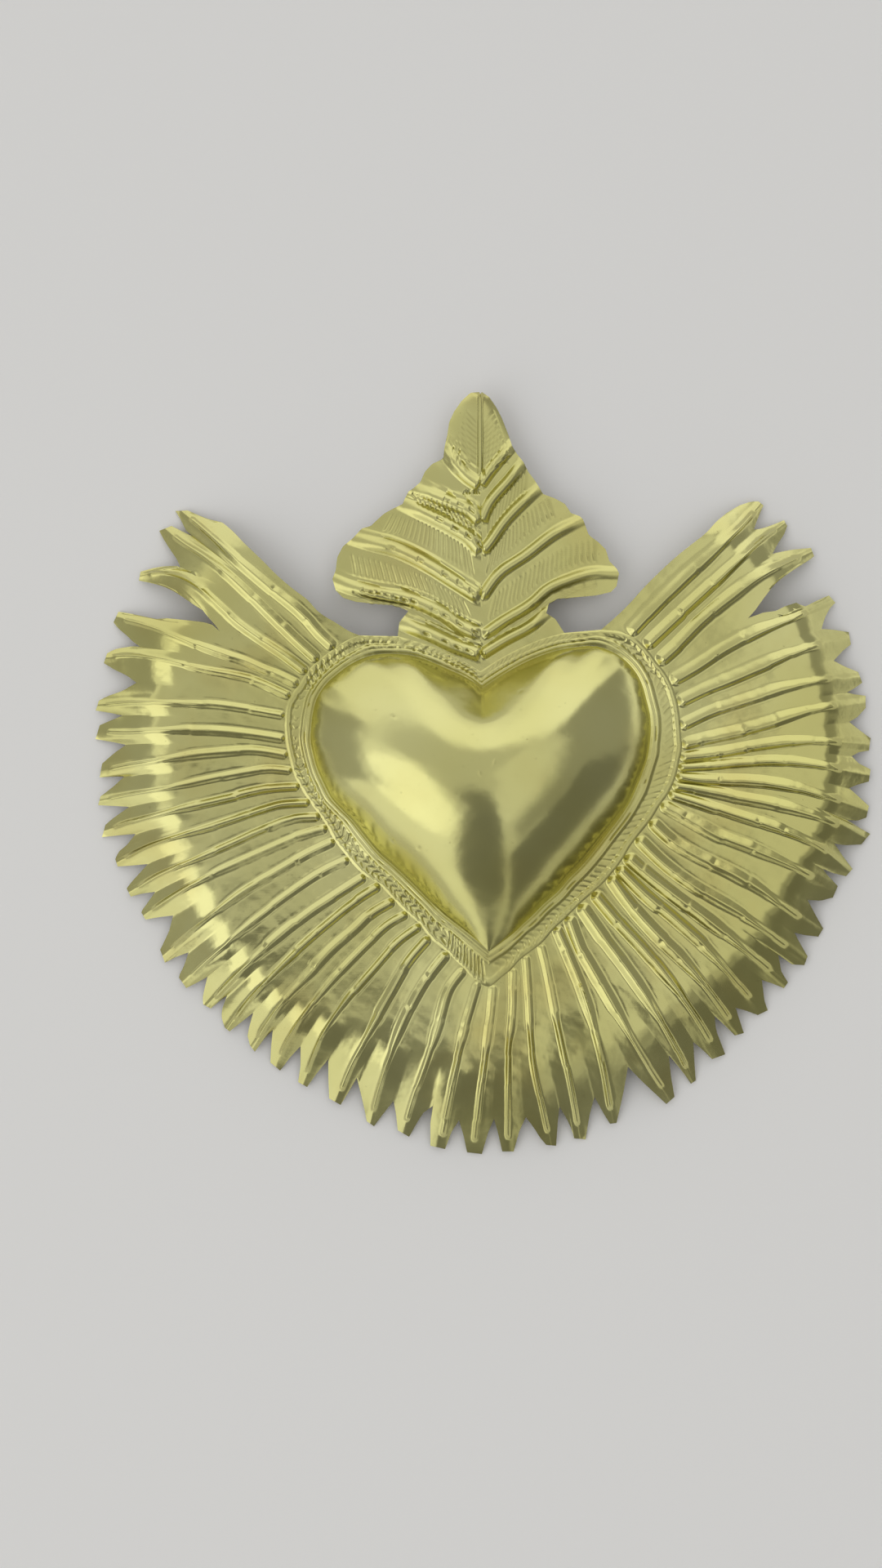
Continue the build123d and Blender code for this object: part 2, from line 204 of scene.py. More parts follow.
def joinPieces(name, pieces, weld=0):
    # One piece in place of several, where points closer than the weld become one
    whole = bmesh.new()
    for piece in pieces:
        whole.from_mesh(piece.data)
        bpy.data.objects.remove(piece)
    if weld:
        bmesh.ops.remove_doubles(whole, verts=whole.verts, dist=weld)
    mesh = bpy.data.meshes.new(name)
    whole.to_mesh(mesh)
    whole.free()
    mesh.shade_smooth()
    return addObject(name, mesh)


print("tables and helpers ready")

# The rays, from the left wing's top feather round the bottom to the right wing's top feather.
# Each row: points along the ridge, points on the tooth's first side, the tip's two corners,
# points on the tooth's other side, and the bottom of the next notch.

rayPx = [
    ([(389, 778), (376, 757), (360, 741), (340, 727), (310, 703), (285, 682), (262, 658),
      (245, 643)], [(245, 634)], (230, 625), (215, 626), [(220, 634), (228, 650)], (236, 657)),
    ([(360, 780), (331, 754), (302, 725), (277, 700), (246, 677), (222, 665)],
     [], (210, 644), (195, 650), [(200, 660), (209, 674), (218, 687)], (222, 699)),
    ([(347, 801), (320, 783), (291, 764), (261, 735), (243, 717), (221, 706), (190, 702)],
     [(217, 693), (205, 693), (190, 695)], (172, 700), (170, 711),
     [(190, 715), (202, 717), (212, 720), (222, 730), (238, 741), (248, 747), (256, 757),
      (264, 766)], (269, 773)),
    ([(341, 827), (320, 819), (300, 808), (280, 802), (250, 793), (210, 776), (190, 768),
      (165, 761)], [(260, 765), (250, 762), (235, 760), (205, 757), (190, 758), (180, 760),
                    (165, 755)], (145, 749), (139, 762), [(145, 770), (155, 778), (163, 786)],
     (173, 793)),
    ([(306, 832), (286, 827), (250, 821), (195, 809), (160, 804)],
     [(165, 791), (150, 793), (140, 795)], (131, 800), (127, 812), [(140, 820), (155, 827)],
     (167, 836)),
    ([(300, 869), (270, 863), (232, 862), (195, 861), (150, 860)],
     [(150, 846), (130, 853)], (121, 858), (117, 870), [(135, 873)], (150, 876)),
    ([(300, 898), (270, 895), (230, 894), (200, 895), (160, 897)],
     [], (122, 888), (117, 905), [(140, 909)], (154, 912)),
    ([(306, 918), (280, 921), (225, 925), (200, 930), (160, 936)],
     [(140, 922)], (125, 935), (122, 952), [(140, 951)], (152, 951)),
    ([(327, 941), (300, 947), (252, 955), (216, 963), (160, 973)],
     [(140, 962), (130, 970)], (123, 975), (120, 986), [(140, 987)], (158, 988)),
    ([(331, 965), (306, 970), (286, 976), (241, 985), (200, 995), (165, 1005)],
     [(148, 995), (137, 1003)], (129, 1010), (125, 1025), [(145, 1023)], (166, 1021)),
    ([(341, 985), (320, 992), (300, 999), (261, 1011), (220, 1022), (180, 1037)],
     [(155, 1035), (145, 1043)], (141, 1052), (144, 1061), [(160, 1060)], (181, 1058)),
    ([(359, 1002), (320, 1017), (280, 1034), (240, 1052), (195, 1070)],
     [(170, 1070), (160, 1081)], (155, 1088), (160, 1098), [(175, 1094)], (190, 1092)),
    ([(366, 1023), (321, 1043), (290, 1057), (260, 1069), (230, 1085), (205, 1102)],
     [(181, 1105), (175, 1113)], (173, 1117), (178, 1126), [(195, 1123)], (212, 1121)),
    ([(380, 1043), (340, 1068), (300, 1089), (270, 1112), (240, 1135), (218, 1154)],
     [(207, 1140), (200, 1155)], (196, 1163), (202, 1179), [(215, 1172)], (231, 1166)),
    ([(400, 1065), (357, 1093), (321, 1120), (281, 1152), (250, 1178)],
     [(225, 1183), (220, 1193)], (219, 1197), (228, 1210), [(240, 1204)], (254, 1196)),
    ([(420, 1091), (380, 1116), (340, 1148), (310, 1174), (275, 1208)],
     [(250, 1212), (248, 1222)], (249, 1230), (258, 1235), [(270, 1225)], (278, 1219)),
    ([(439, 1100), (400, 1131), (369, 1157), (335, 1190), (301, 1228)],
     [(272, 1235), (271, 1245)], (275, 1258), (281, 1263), [(295, 1252)], (310, 1240)),
    ([(454, 1118), (439, 1137), (405, 1163), (380, 1192), (340, 1235)],
     [(305, 1258), (303, 1268)], (306, 1280), (312, 1288), [(322, 1274)], (334, 1261)),
    ([(473, 1132), (459, 1147), (434, 1172), (400, 1206), (375, 1238), (352, 1275)],
     [(332, 1280)], (331, 1301), (343, 1311), [(355, 1295)], (368, 1281)),
    ([(490, 1150), (459, 1186), (420, 1229), (395, 1268)],
     [(368, 1305)], (365, 1325), (376, 1331), [(388, 1314)], (402, 1297)),
    ([(501, 1176), (477, 1217), (450, 1264), (428, 1305)],
     [(402, 1320)], (403, 1345), (417, 1353), [(427, 1337)], (437, 1320)),
    ([(528, 1192), (501, 1238), (481, 1285), (465, 1330)],
     [(442, 1340), (447, 1362)], (449, 1373), (458, 1379), [(470, 1363)], (482, 1348)),
    ([(551, 1208), (537, 1256), (519, 1305), (505, 1350)],
     [(485, 1365)], (487, 1384), (501, 1392), [(510, 1376), (518, 1363)], (530, 1354)),
    ([(576, 1233), (567, 1264), (553, 1322)],
     [(527, 1375)], (527, 1403), (545, 1407), [(553, 1386)], (562, 1372)),
    ([(601, 1239), (595, 1290), (588, 1346)],
     [(567, 1388)], (572, 1411), (590, 1413), [(598, 1386)], (605, 1370)),
    ([(626, 1256), (623, 1281), (622, 1345)],
     [(610, 1388)], (615, 1410), (629, 1410), [(636, 1385)], (644, 1368)),
    ([(648, 1228), (650, 1269), (655, 1310), (665, 1358)],
     [(653, 1380), (662, 1394)], (669, 1402), (681, 1403), [(683, 1375)], (685, 1355)),
    ([(670, 1187), (678, 1235), (687, 1271), (700, 1338)],
     [(694, 1370), (701, 1385)], (703, 1394), (717, 1395), [(722, 1365)], (728, 1343)),
    ([(696, 1171), (712, 1209), (730, 1268), (742, 1320)],
     [(736, 1358), (743, 1370)], (747, 1376), (755, 1375), [(763, 1340)], (769, 1306)),
    ([(713, 1169), (725, 1187), (748, 1227), (772, 1272), (800, 1315)],
     [(785, 1323), (800, 1337)], (816, 1352), (826, 1343), [(822, 1320)], (819, 1292)),
    ([(740, 1151), (766, 1184), (789, 1218), (809, 1250), (832, 1289)],
     [(830, 1305), (840, 1318)], (846, 1327), (852, 1323), [(850, 1295)], (849, 1276)),
    ([(755, 1128), (789, 1164), (812, 1193), (834, 1220), (858, 1255)],
     [(860, 1285)], (872, 1297), (888, 1291), [(884, 1280), (877, 1262)], (875, 1244)),
    ([(773, 1108), (802, 1144), (834, 1172), (860, 1201), (882, 1232)],
     [(888, 1256)], (900, 1268), (911, 1265), [(905, 1247)], (901, 1234)),
    ([(794, 1099), (823, 1124), (859, 1156), (885, 1182), (912, 1215)],
     [(915, 1238)], (928, 1243), (940, 1237), [(936, 1225)], (933, 1200)),
    ([(787, 1067), (827, 1099), (873, 1133), (904, 1158), (935, 1183)],
     [(945, 1204)], (960, 1210), (965, 1203), [(957, 1190)], (953, 1169)),
    ([(817, 1061), (850, 1087), (905, 1117), (935, 1138), (960, 1156)],
     [(970, 1181)], (985, 1182), (989, 1171), [(978, 1152)], (973, 1142)),
    ([(820, 1027), (853, 1049), (893, 1067), (930, 1088), (965, 1115)],
     [(985, 1145)], (1002, 1147), (1008, 1137), [(998, 1119)], (989, 1102)),
    ([(850, 1006), (875, 1024), (917, 1038), (959, 1055), (992, 1074)],
     [(1005, 1103)], (1020, 1099), (1026, 1085), [(1012, 1070)], (1008, 1064)),
    ([(860, 985), (900, 999), (943, 1013), (985, 1028), (1012, 1045)],
     [(1020, 1069)], (1036, 1073), (1044, 1064), [(1032, 1048)], (1022, 1033)),
    ([(850, 965), (900, 976), (959, 986), (1000, 998), (1029, 1010)],
     [(1035, 1035)], (1055, 1034), (1065, 1021), [(1050, 1012)], (1037, 1004)),
    ([(850, 955), (886, 956), (919, 957), (970, 965), (1015, 977)],
     [(1050, 1005)], (1061, 1001), (1064, 987), [(1050, 974)], (1040, 965)),
    ([(870, 938), (903, 935), (950, 933), (1001, 938)],
     [(1050, 961)], (1064, 957), (1066, 942), [(1052, 935)], (1043, 926)),
    ([(868, 925), (914, 916), (959, 910), (1001, 907)],
     [(1052, 921)], (1064, 919), (1066, 904), [(1050, 892)], (1040, 884)),
    ([(860, 907), (904, 898), (950, 885), (1001, 870)],
     [(1050, 878)], (1060, 867), (1060, 852), [(1045, 850)], (1037, 848)),
    ([(868, 874), (918, 858), (961, 843), (1006, 834)],
     [(1046, 843)], (1056, 836), (1051, 823), [(1032, 815)], (1021, 809)),
    ([(860, 848), (897, 833), (941, 814), (990, 794)],
     [(1032, 797)], (1042, 789), (1039, 774), [(1020, 771)], (1006, 770)),
    ([(850, 821), (889, 795), (920, 779), (979, 753)],
     [(1010, 757), (1016, 745)], (1023, 738), (1015, 729),
     [(1003, 736), (985, 743), (975, 738), (962, 742), (950, 748), (935, 750)], (916, 757)),
    ([(830, 793), (862, 759), (897, 733), (929, 708), (968, 688)],
     [(925, 747), (935, 733), (945, 720), (952, 712), (962, 702), (975, 693), (990, 687)],
     (997, 681), (993, 671), [(970, 673), (955, 676)], (946, 678)),
    ([(830, 757), (865, 725), (902, 690), (935, 660)],
     [(953, 665), (960, 655)], (964, 644), (960, 637), [(953, 640), (940, 645), (930, 648)],
     (923, 648)),
    ([(796, 752), (835, 713), (875, 676), (912, 640)],
     [(928, 635), (932, 625)], (935, 619), (929, 614), [(920, 614), (905, 619)], (890, 628)),
]
rootPx = [
    (402, 786), (386, 806), (367, 818), (364, 838), (353, 852), (347, 876), (348, 905), (345, 924),
    (356, 944), (366, 963), (377, 983), (388, 1001), (397, 1015), (407, 1031), (426, 1053),
    (446, 1074), (466, 1083), (481, 1105), (498, 1120), (515, 1133), (524, 1152), (546, 1176),
    (568, 1188), (585, 1206), (604, 1207), (629, 1189), (645, 1175), (663, 1159), (684, 1141),
    (700, 1129), (713, 1111), (730, 1097), (748, 1074), (763, 1067), (766, 1048), (782, 1027),
    (798, 1006), (812, 985), (823, 972), (824, 962), (829, 950), (832, 940), (836, 928),
    (838, 913), (838, 890), (835, 861), (827, 834), (807, 813), (797, 789), (778, 772),
]
leftWingEdgePx = [(440, 778), (430, 774), (412, 763), (390, 749), (376, 734), (360, 722),
                  (340, 705), (320, 685), (300, 666), (280, 646), (270, 639), (258, 640)]
rightWingEdgePx = [(736, 771), (750, 759), (770, 740), (788, 720), (808, 700), (830, 680),
                   (845, 668), (865, 652), (878, 638), (890, 628)]
slitNotches = (2, 46)                # the two long slits, after the third ray and the 47th

# The border's outer line, from the left wing round the bottom to the right wing, then the
# crest's neck back to the left wing

borderPx = [(440, 778), (425, 784), (408, 795), (392, 807), (379, 819), (366, 838), (356, 852),
            (350, 864), (348, 880), (348, 895), (350, 913), (354, 930), (359, 947), (367, 963),
            (377, 979), (388, 994), (399, 1010), (408, 1027), (421, 1044), (432, 1058),
            (445, 1071), (465, 1084), (482, 1102), (497, 1117), (514, 1132), (526, 1148),
            (545, 1164), (566, 1184), (582, 1200), (598, 1208), (614, 1197), (626, 1187),
            (637, 1175), (650, 1165), (663, 1155), (679, 1137), (694, 1123), (711, 1106),
            (726, 1093), (740, 1080), (752, 1066), (763, 1051), (772, 1036), (781, 1024),
            (790, 1013), (799, 1001), (808, 986), (819, 971), (825, 958), (829, 946), (832, 932),
            (835, 916), (834, 900), (833, 884), (831, 866), (827, 850), (821, 835), (814, 823),
            (805, 812), (794, 797), (779, 782), (762, 774), (736, 771)]
neckRightPx = [(588, 822), (610, 808), (640, 792), (665, 782), (691, 775)]
neckLeftPx = [(588, 822), (570, 811), (545, 798), (515, 787), (487, 779)]
footLeftPx = [(590, 843), (580, 835), (570, 829), (550, 820), (530, 811), (510, 804), (490, 801),
              (465, 801), (449, 804), (430, 813), (412, 826), (399, 838), (388, 855), (383, 873),
              (381, 890), (380, 905), (383, 923), (388, 941), (396, 959), (406, 978), (417, 990),
              (430, 1003), (446, 1023), (464, 1044), (482, 1060), (500, 1077), (518, 1095),
              (544, 1120), (562, 1134), (582, 1150), (599, 1165)]
footRightPx = [(599, 1165), (617, 1152), (632, 1140), (640, 1132), (651, 1122), (667, 1106),
               (683, 1092), (697, 1076), (712, 1061), (728, 1042), (745, 1020), (760, 1000),
               (771, 983), (780, 964), (787, 946), (793, 928), (796, 909), (797, 893),
               (796, 876), (792, 858), (787, 840), (779, 824), (767, 810), (747, 797),
               (729, 791), (709, 792), (680, 797), (659, 804), (639, 813), (616, 826), (602, 835),
               (590, 843)]
heartMiddlePx = np.array([592.0, 955.0])


def polar(px):
    px = np.asarray(px, float)
    dx, dy = np.moveaxis((px - heartMiddlePx) * (1, -1), -1, 0)
    return np.arctan2(dy, dx), np.hypot(dx, dy)


def fromPolar(turn, reach):
    return heartMiddlePx + np.stack([reach * np.cos(turn), -reach * np.sin(turn)], -1)


def reachLine(px):
    turn, reach = polar(px)
    order = np.argsort(turn)
    return turn[order], reach[order]


def reachAt(line, turn):
    return np.interp(turn, line[0], line[1], period=2 * math.pi)


denseShares = np.linspace(0, 1, 900)
outerLine = reachLine(np.concatenate([
    smoothPath(borderPx, denseShares), straightPath([borderPx[-1], neckRightPx[-1]], denseShares),
    smoothPath(neckRightPx, denseShares), smoothPath(neckLeftPx, denseShares),
    straightPath([neckLeftPx[-1], borderPx[0]], denseShares)]))
footLine = reachLine(np.concatenate([smoothPath(footLeftPx, denseShares),
                                     smoothPath(footRightPx, denseShares)]))

# Ridges and teeth

rays = {
    "rows": 118,                     # cells from the border to the tip
    "rowCrowding": 1.12,             # closer near the border
    "halfColumns": 12,               # cells from a valley to the ridge
    "columnCrowding": 1.25,          # closer near the ridge
    "cornerColumn": 7,               # the cell where the tooth's corner lies
    "wander": 0.35,                  # how much of the ridges' crookedness is kept
    "valleyShares": (0.3, 0.55),     # where a valley stays half way between its ridges
    "farthest": (1.04, 1.1),         # how far past the teeth a ray and its bend are reckoned
    "crownRise": 0.0017,
    "tipTops": (0.0006, 0.0012, 0.0016),
    "pleatCentre": 0.335,
    "pleatStart": 0.06,              # how far before the bend the pleats begin
    "pleatFull": 0.9,
    "ridgeStop": 6,                  # how suddenly a ridge's relief stops at the valley
    "heightDraw": (0.85, 1.1),       # how ridges differ, as shares of their height and width
    "widthDraw": (0.9, 1.08),
    "firstNick": (0.1, 0.3),         # shares of the ridge's length
    "lastNick": 0.86,
    "nickApart": (0.11, 0.3),
    "nickLength": 0.0006,
    "nickAside": 0.5,                # shares of the ridge's half width
    "nickHalfWidth": 0.55,
    "nickDepthShare": 0.4,
    "nickDraw": (0.2, 1),
    "heightStep": (-0.1, 0.08),      # how the ridge changes from one punched length to the next
    "widthStep": (-0.1, 0.07),
    "sideStep": 0.00025,
    "straightStart": 0.004,          # how far from the border the side steps begin
    "skewReach": 0.0004,
    "rodFoot": 0.1,                  # softness of the fold at a ridge's foot
    "rodReach": (1.25, 0.2),         # where the relief ends and over how far, in half widths
    "groovePlace": (1.2, 0.2),       # middle and half width of the line beside a ridge
    "grooveDepth": 0.0001,
    "grooveStart": 0.0005,
    "quietTip": 0.7,                 # how much less uneven the tips are, and from where
    "quietFrom": 0.8,
    "lowest": 0.0006,                # where the tips rest on the floor
    "lowestSoftness": 0.0003,
    "seed": 5,
}
# Where the fan bends down, as shares of a ray's length, and how sharply, by ray number
crownRays = (0, 3, 10, 14, 17, 21, 25, 29, 33, 37, 41, 46, 49)
crownShares = (0.58, 0.60, 0.62, 0.66, 0.70, 0.58, 0.50, 0.56, 0.64, 0.72, 0.76, 0.74, 0.66)
bendShares = (0.5, 0.45, 0.45, 0.45, 0.45, 0.45, 0.5, 0.5, 0.45, 0.4, 0.4, 0.4, 0.5)

# How the ridges change round the fan, in millimetres and shares of a ray's length
ridgeRays = (0, 2, 3, 9, 15, 21, 23, 27, 29, 34, 38, 41, 46, 47, 49)
ridgeLooks = {
    "innerHeight": (1.1, 1.1, 1.0, 1.05, 1.15, 1.2, 0.5, 0.45, 1.35, 1.45, 1.15, 1.15, 1.4, 1.4,
                    1.4),
    "innerHalfWidth": (1.7, 1.6, 1.4, 1.4, 1.55, 1.6, 1.4, 1.4, 2.2, 2.3, 1.9, 1.9, 2.3, 2.4,
                       2.4),
    "outerHeight": (0.8, 0.8, 0.6, 0.6, 0.7, 0.8, 1.0, 1.0, 1.0, 0.9, 0.8, 0.8, 0.9, 0.8, 0.8),
    "outerHalfWidth": (1.0, 1.0, 0.75, 0.75, 0.8, 0.9, 1.0, 1.0, 1.1, 1.1, 1.1, 1.2, 1.2, 1.1,
                       1.1),
    "narrowFrom": (0.5, 0.5, 0.45, 0.5, 0.5, 0.45, 0.33, 0.33, 0.45, 0.5, 0.5, 0.5, 0.5, 0.5,
                   0.5),
    "narrowTo": (0.9, 0.9, 0.75, 0.72, 0.75, 0.65, 0.43, 0.43, 0.7, 0.8, 0.8, 0.8, 0.8, 0.9,
                 0.9),
    "endShare": (0.95, 0.95, 0.96, 0.95, 0.94, 0.93, 0.93, 0.93, 0.93, 0.9, 0.85, 0.85, 0.84,
                 0.93, 0.94),
    "roundTop": (0.3, 0.3, 0.25, 0.25, 0.25, 0.3, 0.4, 0.4, 0.35, 0.35, 0.3, 0.3, 0.3, 0.3, 0.3),
    "skew": (0, 0, 0, 0, 0, 0, 0, 0, 0, 0.05, 0.15, 0.3, 0.35, 0.3, 0.3),
    "pleat": (1.8, 1.8, 2.0, 2.2, 1.9, 1.2, 0.9, 0.9, 1.0, 1.3, 1.6, 1.7, 1.7, 1.7, 1.7),
}
inMillimetres = ("innerHeight", "innerHalfWidth", "outerHeight", "outerHalfWidth", "pleat")

rayCount = len(rayPx)
rootTurns = np.unwrap(polar(rootPx)[0] % (2 * math.pi))
valleyTurns = np.concatenate([[polar(borderPx[0])[0] % (2 * math.pi)],
                              (rootTurns[1:] + rootTurns[:-1]) / 2,
                              [polar(borderPx[-1])[0] + 2 * math.pi]])
rowShares = np.linspace(0, 1, rays["rows"] + 1) ** rays["rowCrowding"]
half = rays["halfColumns"]
columnShares = 1 - ((half - np.arange(half + 1)) / half) ** rays["columnCrowding"]


def fairLine(points, keep):
    # A gently curving line through its own two ends, near the points between them
    points = np.asarray(points, float)
    at = pathShares(points)[:, None]
    chord = points[0] * (1 - at) + points[-1] * at
    shapes = at * (1 - at) * np.concatenate([at ** 0, at, at ** 2], 1)
    swing = np.linalg.lstsq(shapes, points - chord, rcond=None)[0]
    return keep * points + (1 - keep) * (chord + shapes @ swing)


def ridgePath(number):
    ridge, _, first, last, _, _ = rayPx[number]
    start = fromPolar(rootTurns[number], reachAt(outerLine, rootTurns[number]))
    tip = (np.asarray(first, float) + last) / 2
    return fairLine([start, *ridge, tip], rays["wander"])


def valleyPath(number):
    if number == 0:
        return np.array(leftWingEdgePx, float)
    if number == rayCount:
        return np.array(rightWingEdgePx, float)
    notch = rayPx[number - 1][5]
    turn = valleyTurns[number]
    start = fromPolar(turn, reachAt(outerLine, turn))
    if number - 1 in slitNotches:
        return np.array([start, notch], float)
    shares = np.array(rays["valleyShares"])
    middle = (smoothPath(ridgePath(number - 1), shares) + smoothPath(ridgePath(number), shares)) / 2
    return np.array([start, *middle, notch])


def halfPatch(start, valley, ridge, end):
    # Fills the space between a valley and a ridge from its four sides
    u, v = columnShares[None, :, None], rowShares[:, None, None]
    sides = (1 - u) * valley[:, None] + u * ridge[:, None]
    ends = (1 - v) * start[None] + v * end[None]
    corners = ((1 - u) * ((1 - v) * valley[0] + v * valley[-1])
               + u * ((1 - v) * ridge[0] + v * ridge[-1]))
    return sides + ends - corners


def toothSide(notch, side, corner, tip):
    cells = rays["cornerColumn"]
    edge = straightPath([notch, *side, corner], np.linspace(0, 1, cells + 1))
    face = straightPath([corner, tip], np.linspace(0, 1, half - cells + 1))
    return np.concatenate([edge, face[1:]])


def rayGrid(number):
    # One ray's points, and for each point how far it lies across and along the ridge
    _, before, first, last, after, notch = rayPx[number]
    ridgeLine, valleyLines = ridgePath(number), [valleyPath(number), valleyPath(number + 1)]
    edges, readLine = [before, after[::-1]], [smoothPath, smoothPath]
    for side, atSlit in enumerate((number - 1 in slitNotches, number in slitNotches)):
        if atSlit:                   # the valley runs on along the slit, almost to the tip
            valleyLines[side] = np.concatenate([valleyLines[side], edges[side][:-2]])
            edges[side], readLine[side] = edges[side][-2:], straightPath
    ridge = smoothPath(ridgeLine, rowShares)
    turns = valleyTurns[number], rootTurns[number], valleyTurns[number + 1]
    halves = []
    ends = [toothSide(valleyLines[0][-1], edges[0], first, ridgeLine[-1]),
            toothSide(valleyLines[1][-1], edges[1], last, ridgeLine[-1])]
    for side in (0, 1):
        valley = readLine[side](valleyLines[side], rowShares)
        turn = turns[2 * side] + (turns[1] - turns[2 * side]) * columnShares
        start = fromPolar(turn, reachAt(outerLine, turn))
        halves.append(halfPatch(start, valley, ridge, ends[side]))
    points = np.concatenate([halves[0], halves[1][:, -2::-1]], 1)
    across = np.concatenate([1 - columnShares, (1 - columnShares)[-2::-1]])
    lean = np.gradient(ridge, axis=0)
    lean /= np.hypot(*lean.T)[:, None]
    offset = (points - ridge[:, None]) * metresPerPx[0]
    along = (offset * lean[:, None]).sum(-1)
    aside = offset[..., 0] * lean[:, None, 1] - offset[..., 1] * lean[:, None, 0]
    steps = np.hypot(*np.diff(ridge, axis=0).T) * metresPerPx[0]
    length = np.concatenate([[0], np.cumsum(steps)])
    return points, np.broadcast_to(across, aside.shape), aside, along + length[:, None], length[-1]


def ridgeLook(number):
    look = {name: float(np.interp(number, ridgeRays, table)) for name, table in ridgeLooks.items()}
    return {name: value / 1000 if name in inMillimetres else value
            for name, value in look.items()}


def rodRelief(number, aside, along, length):
    # The half-round ridge: closed round ends, punched lengths with nicks between them
    draw = random.Random(rays["seed"] * 1000 + number)
    look = ridgeLook(number)
    inner, roundTop = look["innerHalfWidth"], look["roundTop"]
    height = np.full_like(aside, draw.uniform(*rays["heightDraw"]))
    swell = np.full_like(aside, draw.uniform(*rays["widthDraw"]))
    shift = np.zeros_like(aside)
    at = draw.uniform(*rays["firstNick"]) * length
    while at < rays["lastNick"] * length:
        flank = draw.choice((-1, 1)) * inner * rays["nickAside"]
        nick = bell(along - at, rays["nickLength"])
        nick = nick * bell(aside - flank, rays["nickHalfWidth"] * inner)
        height = height * (1 - rays["nickDepthShare"] * draw.uniform(*rays["nickDraw"]) ** 2 * nick)
        past = smoothStep(along, at - rays["nickLength"], at + rays["nickLength"])
        shift = shift + draw.uniform(-1, 1) * rays["sideStep"] * past
        height = height * (1 + draw.uniform(*rays["heightStep"]) * past)
        swell = swell * (1 + draw.uniform(*rays["widthStep"]) * past)
        at += draw.uniform(*rays["nickApart"]) * length
    fade = smoothStep(along / length, look["narrowFrom"], look["narrowTo"])
    halfWidth = (inner * (1 - fade) + look["outerHalfWidth"] * fade) * swell
    top = look["innerHeight"] * (1 - fade) + look["outerHeight"] * fade
    pastEnds = np.maximum(halfWidth - along, along - look["endShare"] * length + halfWidth)
    offLine = aside - shift * (1 - np.exp(-along / rays["straightStart"]))
    offLine = offLine / (1 + look["skew"] * np.tanh(offLine / rays["skewReach"]))
    apart = np.hypot(offLine, np.maximum(0, pastEnds)) / halfWidth
    crown = np.sqrt(roundTop ** 2 + apart ** 2) - roundTop
    crown = 1 - crown / (math.sqrt(roundTop ** 2 + 1) - roundTop)
    rodEnd, rodEase = rays["rodReach"]
    rod = softPositive(crown, rays["rodFoot"]) * smoothStep(rodEnd - apart, 0, rodEase)
    grooveAt, grooveHalfWidth = rays["groovePlace"]
    groove = bell(apart - grooveAt, grooveHalfWidth) * (1 - fade)
    groove = groove * (1 - np.exp(-along / rays["grooveStart"]))
    return rod * top * height - groove * rays["grooveDepth"]


def buildRays():
    tipTurn, tipReach = polar([(np.asarray(row[2], float) + row[3]) / 2 for row in rayPx])
    tipTurn = np.unwrap(tipTurn % (2 * math.pi))
    numbers = np.arange(rayCount)
    tables = (np.interp(numbers, crownRays, crownShares), np.interp(numbers, crownRays, bendShares),
              np.array(rays["tipTops"])[numbers % len(rays["tipTops"])])
    crownTop = sheet["borderTop"] + rays["crownRise"]
    farOut, farBeyond = rays["farthest"]
    pieces = []
    for number in range(rayCount):
        points, across, aside, along, length = rayGrid(number)
        turn, reach = polar(points)
        turn = turn % (2 * math.pi)
        turn = np.where(turn < math.pi / 2, turn + 2 * math.pi, turn)
        inner, outer = reachAt(outerLine, turn), np.interp(turn, tipTurn, tipReach)
        # How far out a point lies: the fan rises to its crown, bends and falls to the tips
        out = np.clip((reach - inner) / (outer - inner), 0, farOut)
        crown, bend, tip = (np.interp(turn, tipTurn, table) for table in tables)
        beyond = np.clip((out - crown) / (1 - crown), 0, farBeyond)
        fall = np.where(beyond < bend, beyond ** 2 / (2 * bend), beyond - bend / 2) / (1 - bend / 2)
        rise = sheet["borderTop"] + rays["crownRise"] * np.sin(math.pi / 2 * out / crown)
        level = np.where(out < crown, rise, crownTop - (crownTop - tip) * fall)
        pleat = smoothStep(out, crown - rays["pleatStart"], rays["pleatFull"])
        level = level + ridgeLook(number)["pleat"] * pleat * (rays["pleatCentre"] - across)
        window = 1 - across ** rays["ridgeStop"]
        level = level + window * rodRelief(number, aside, along, length)
        x, y = place(points, level)
        quiet = rays["quietTip"] * smoothStep(out, rays["quietFrom"], 1)
        level = level + unevenness(x, y) * (1 - quiet)
        spare = softPositive(level - rays["lowest"], rays["lowestSoftness"])
        pieces.append((x, y, rays["lowest"] + spare))
    return pieces


rayPieces = buildRays()


def joinRays(name, first, last):
    grids = [tuple(part[:, :-1] for part in rayPieces[number]) for number in range(first, last)]
    grids.append(rayPieces[last])
    x, y, z = (np.concatenate([grid[part] for grid in grids], 1) for part in range(3))
    return meshFromGrid(name, x, y, z)


# Each sheet's piece, the node that it replaces and its finish
sheetPieces = {name: (joinRays(name, first, last), node, finish)
               for name, first, last, node, finish in (
                   ("leftWingSheet", 0, 2, "left_wing", "featherBrass"),
                   ("leftRaySheet", 3, 14, "left_ray_fan", "rayBrass"),
                   ("lowerRaySheet", 15, 31, "lower_ray_fan", "rayBrass"),
                   ("rightRaySheet", 32, 46, "right_ray_fan", "rayBrass"),
                   ("rightWingSheet", 47, 49, "right_wing", "featherBrass"))}
print("rays and feathers built")

# The crest. Each chevron line runs from the midrib out to the crest's edge. A row holds the
# line's points, the edge's points since the line before, and the line's end on the edge.

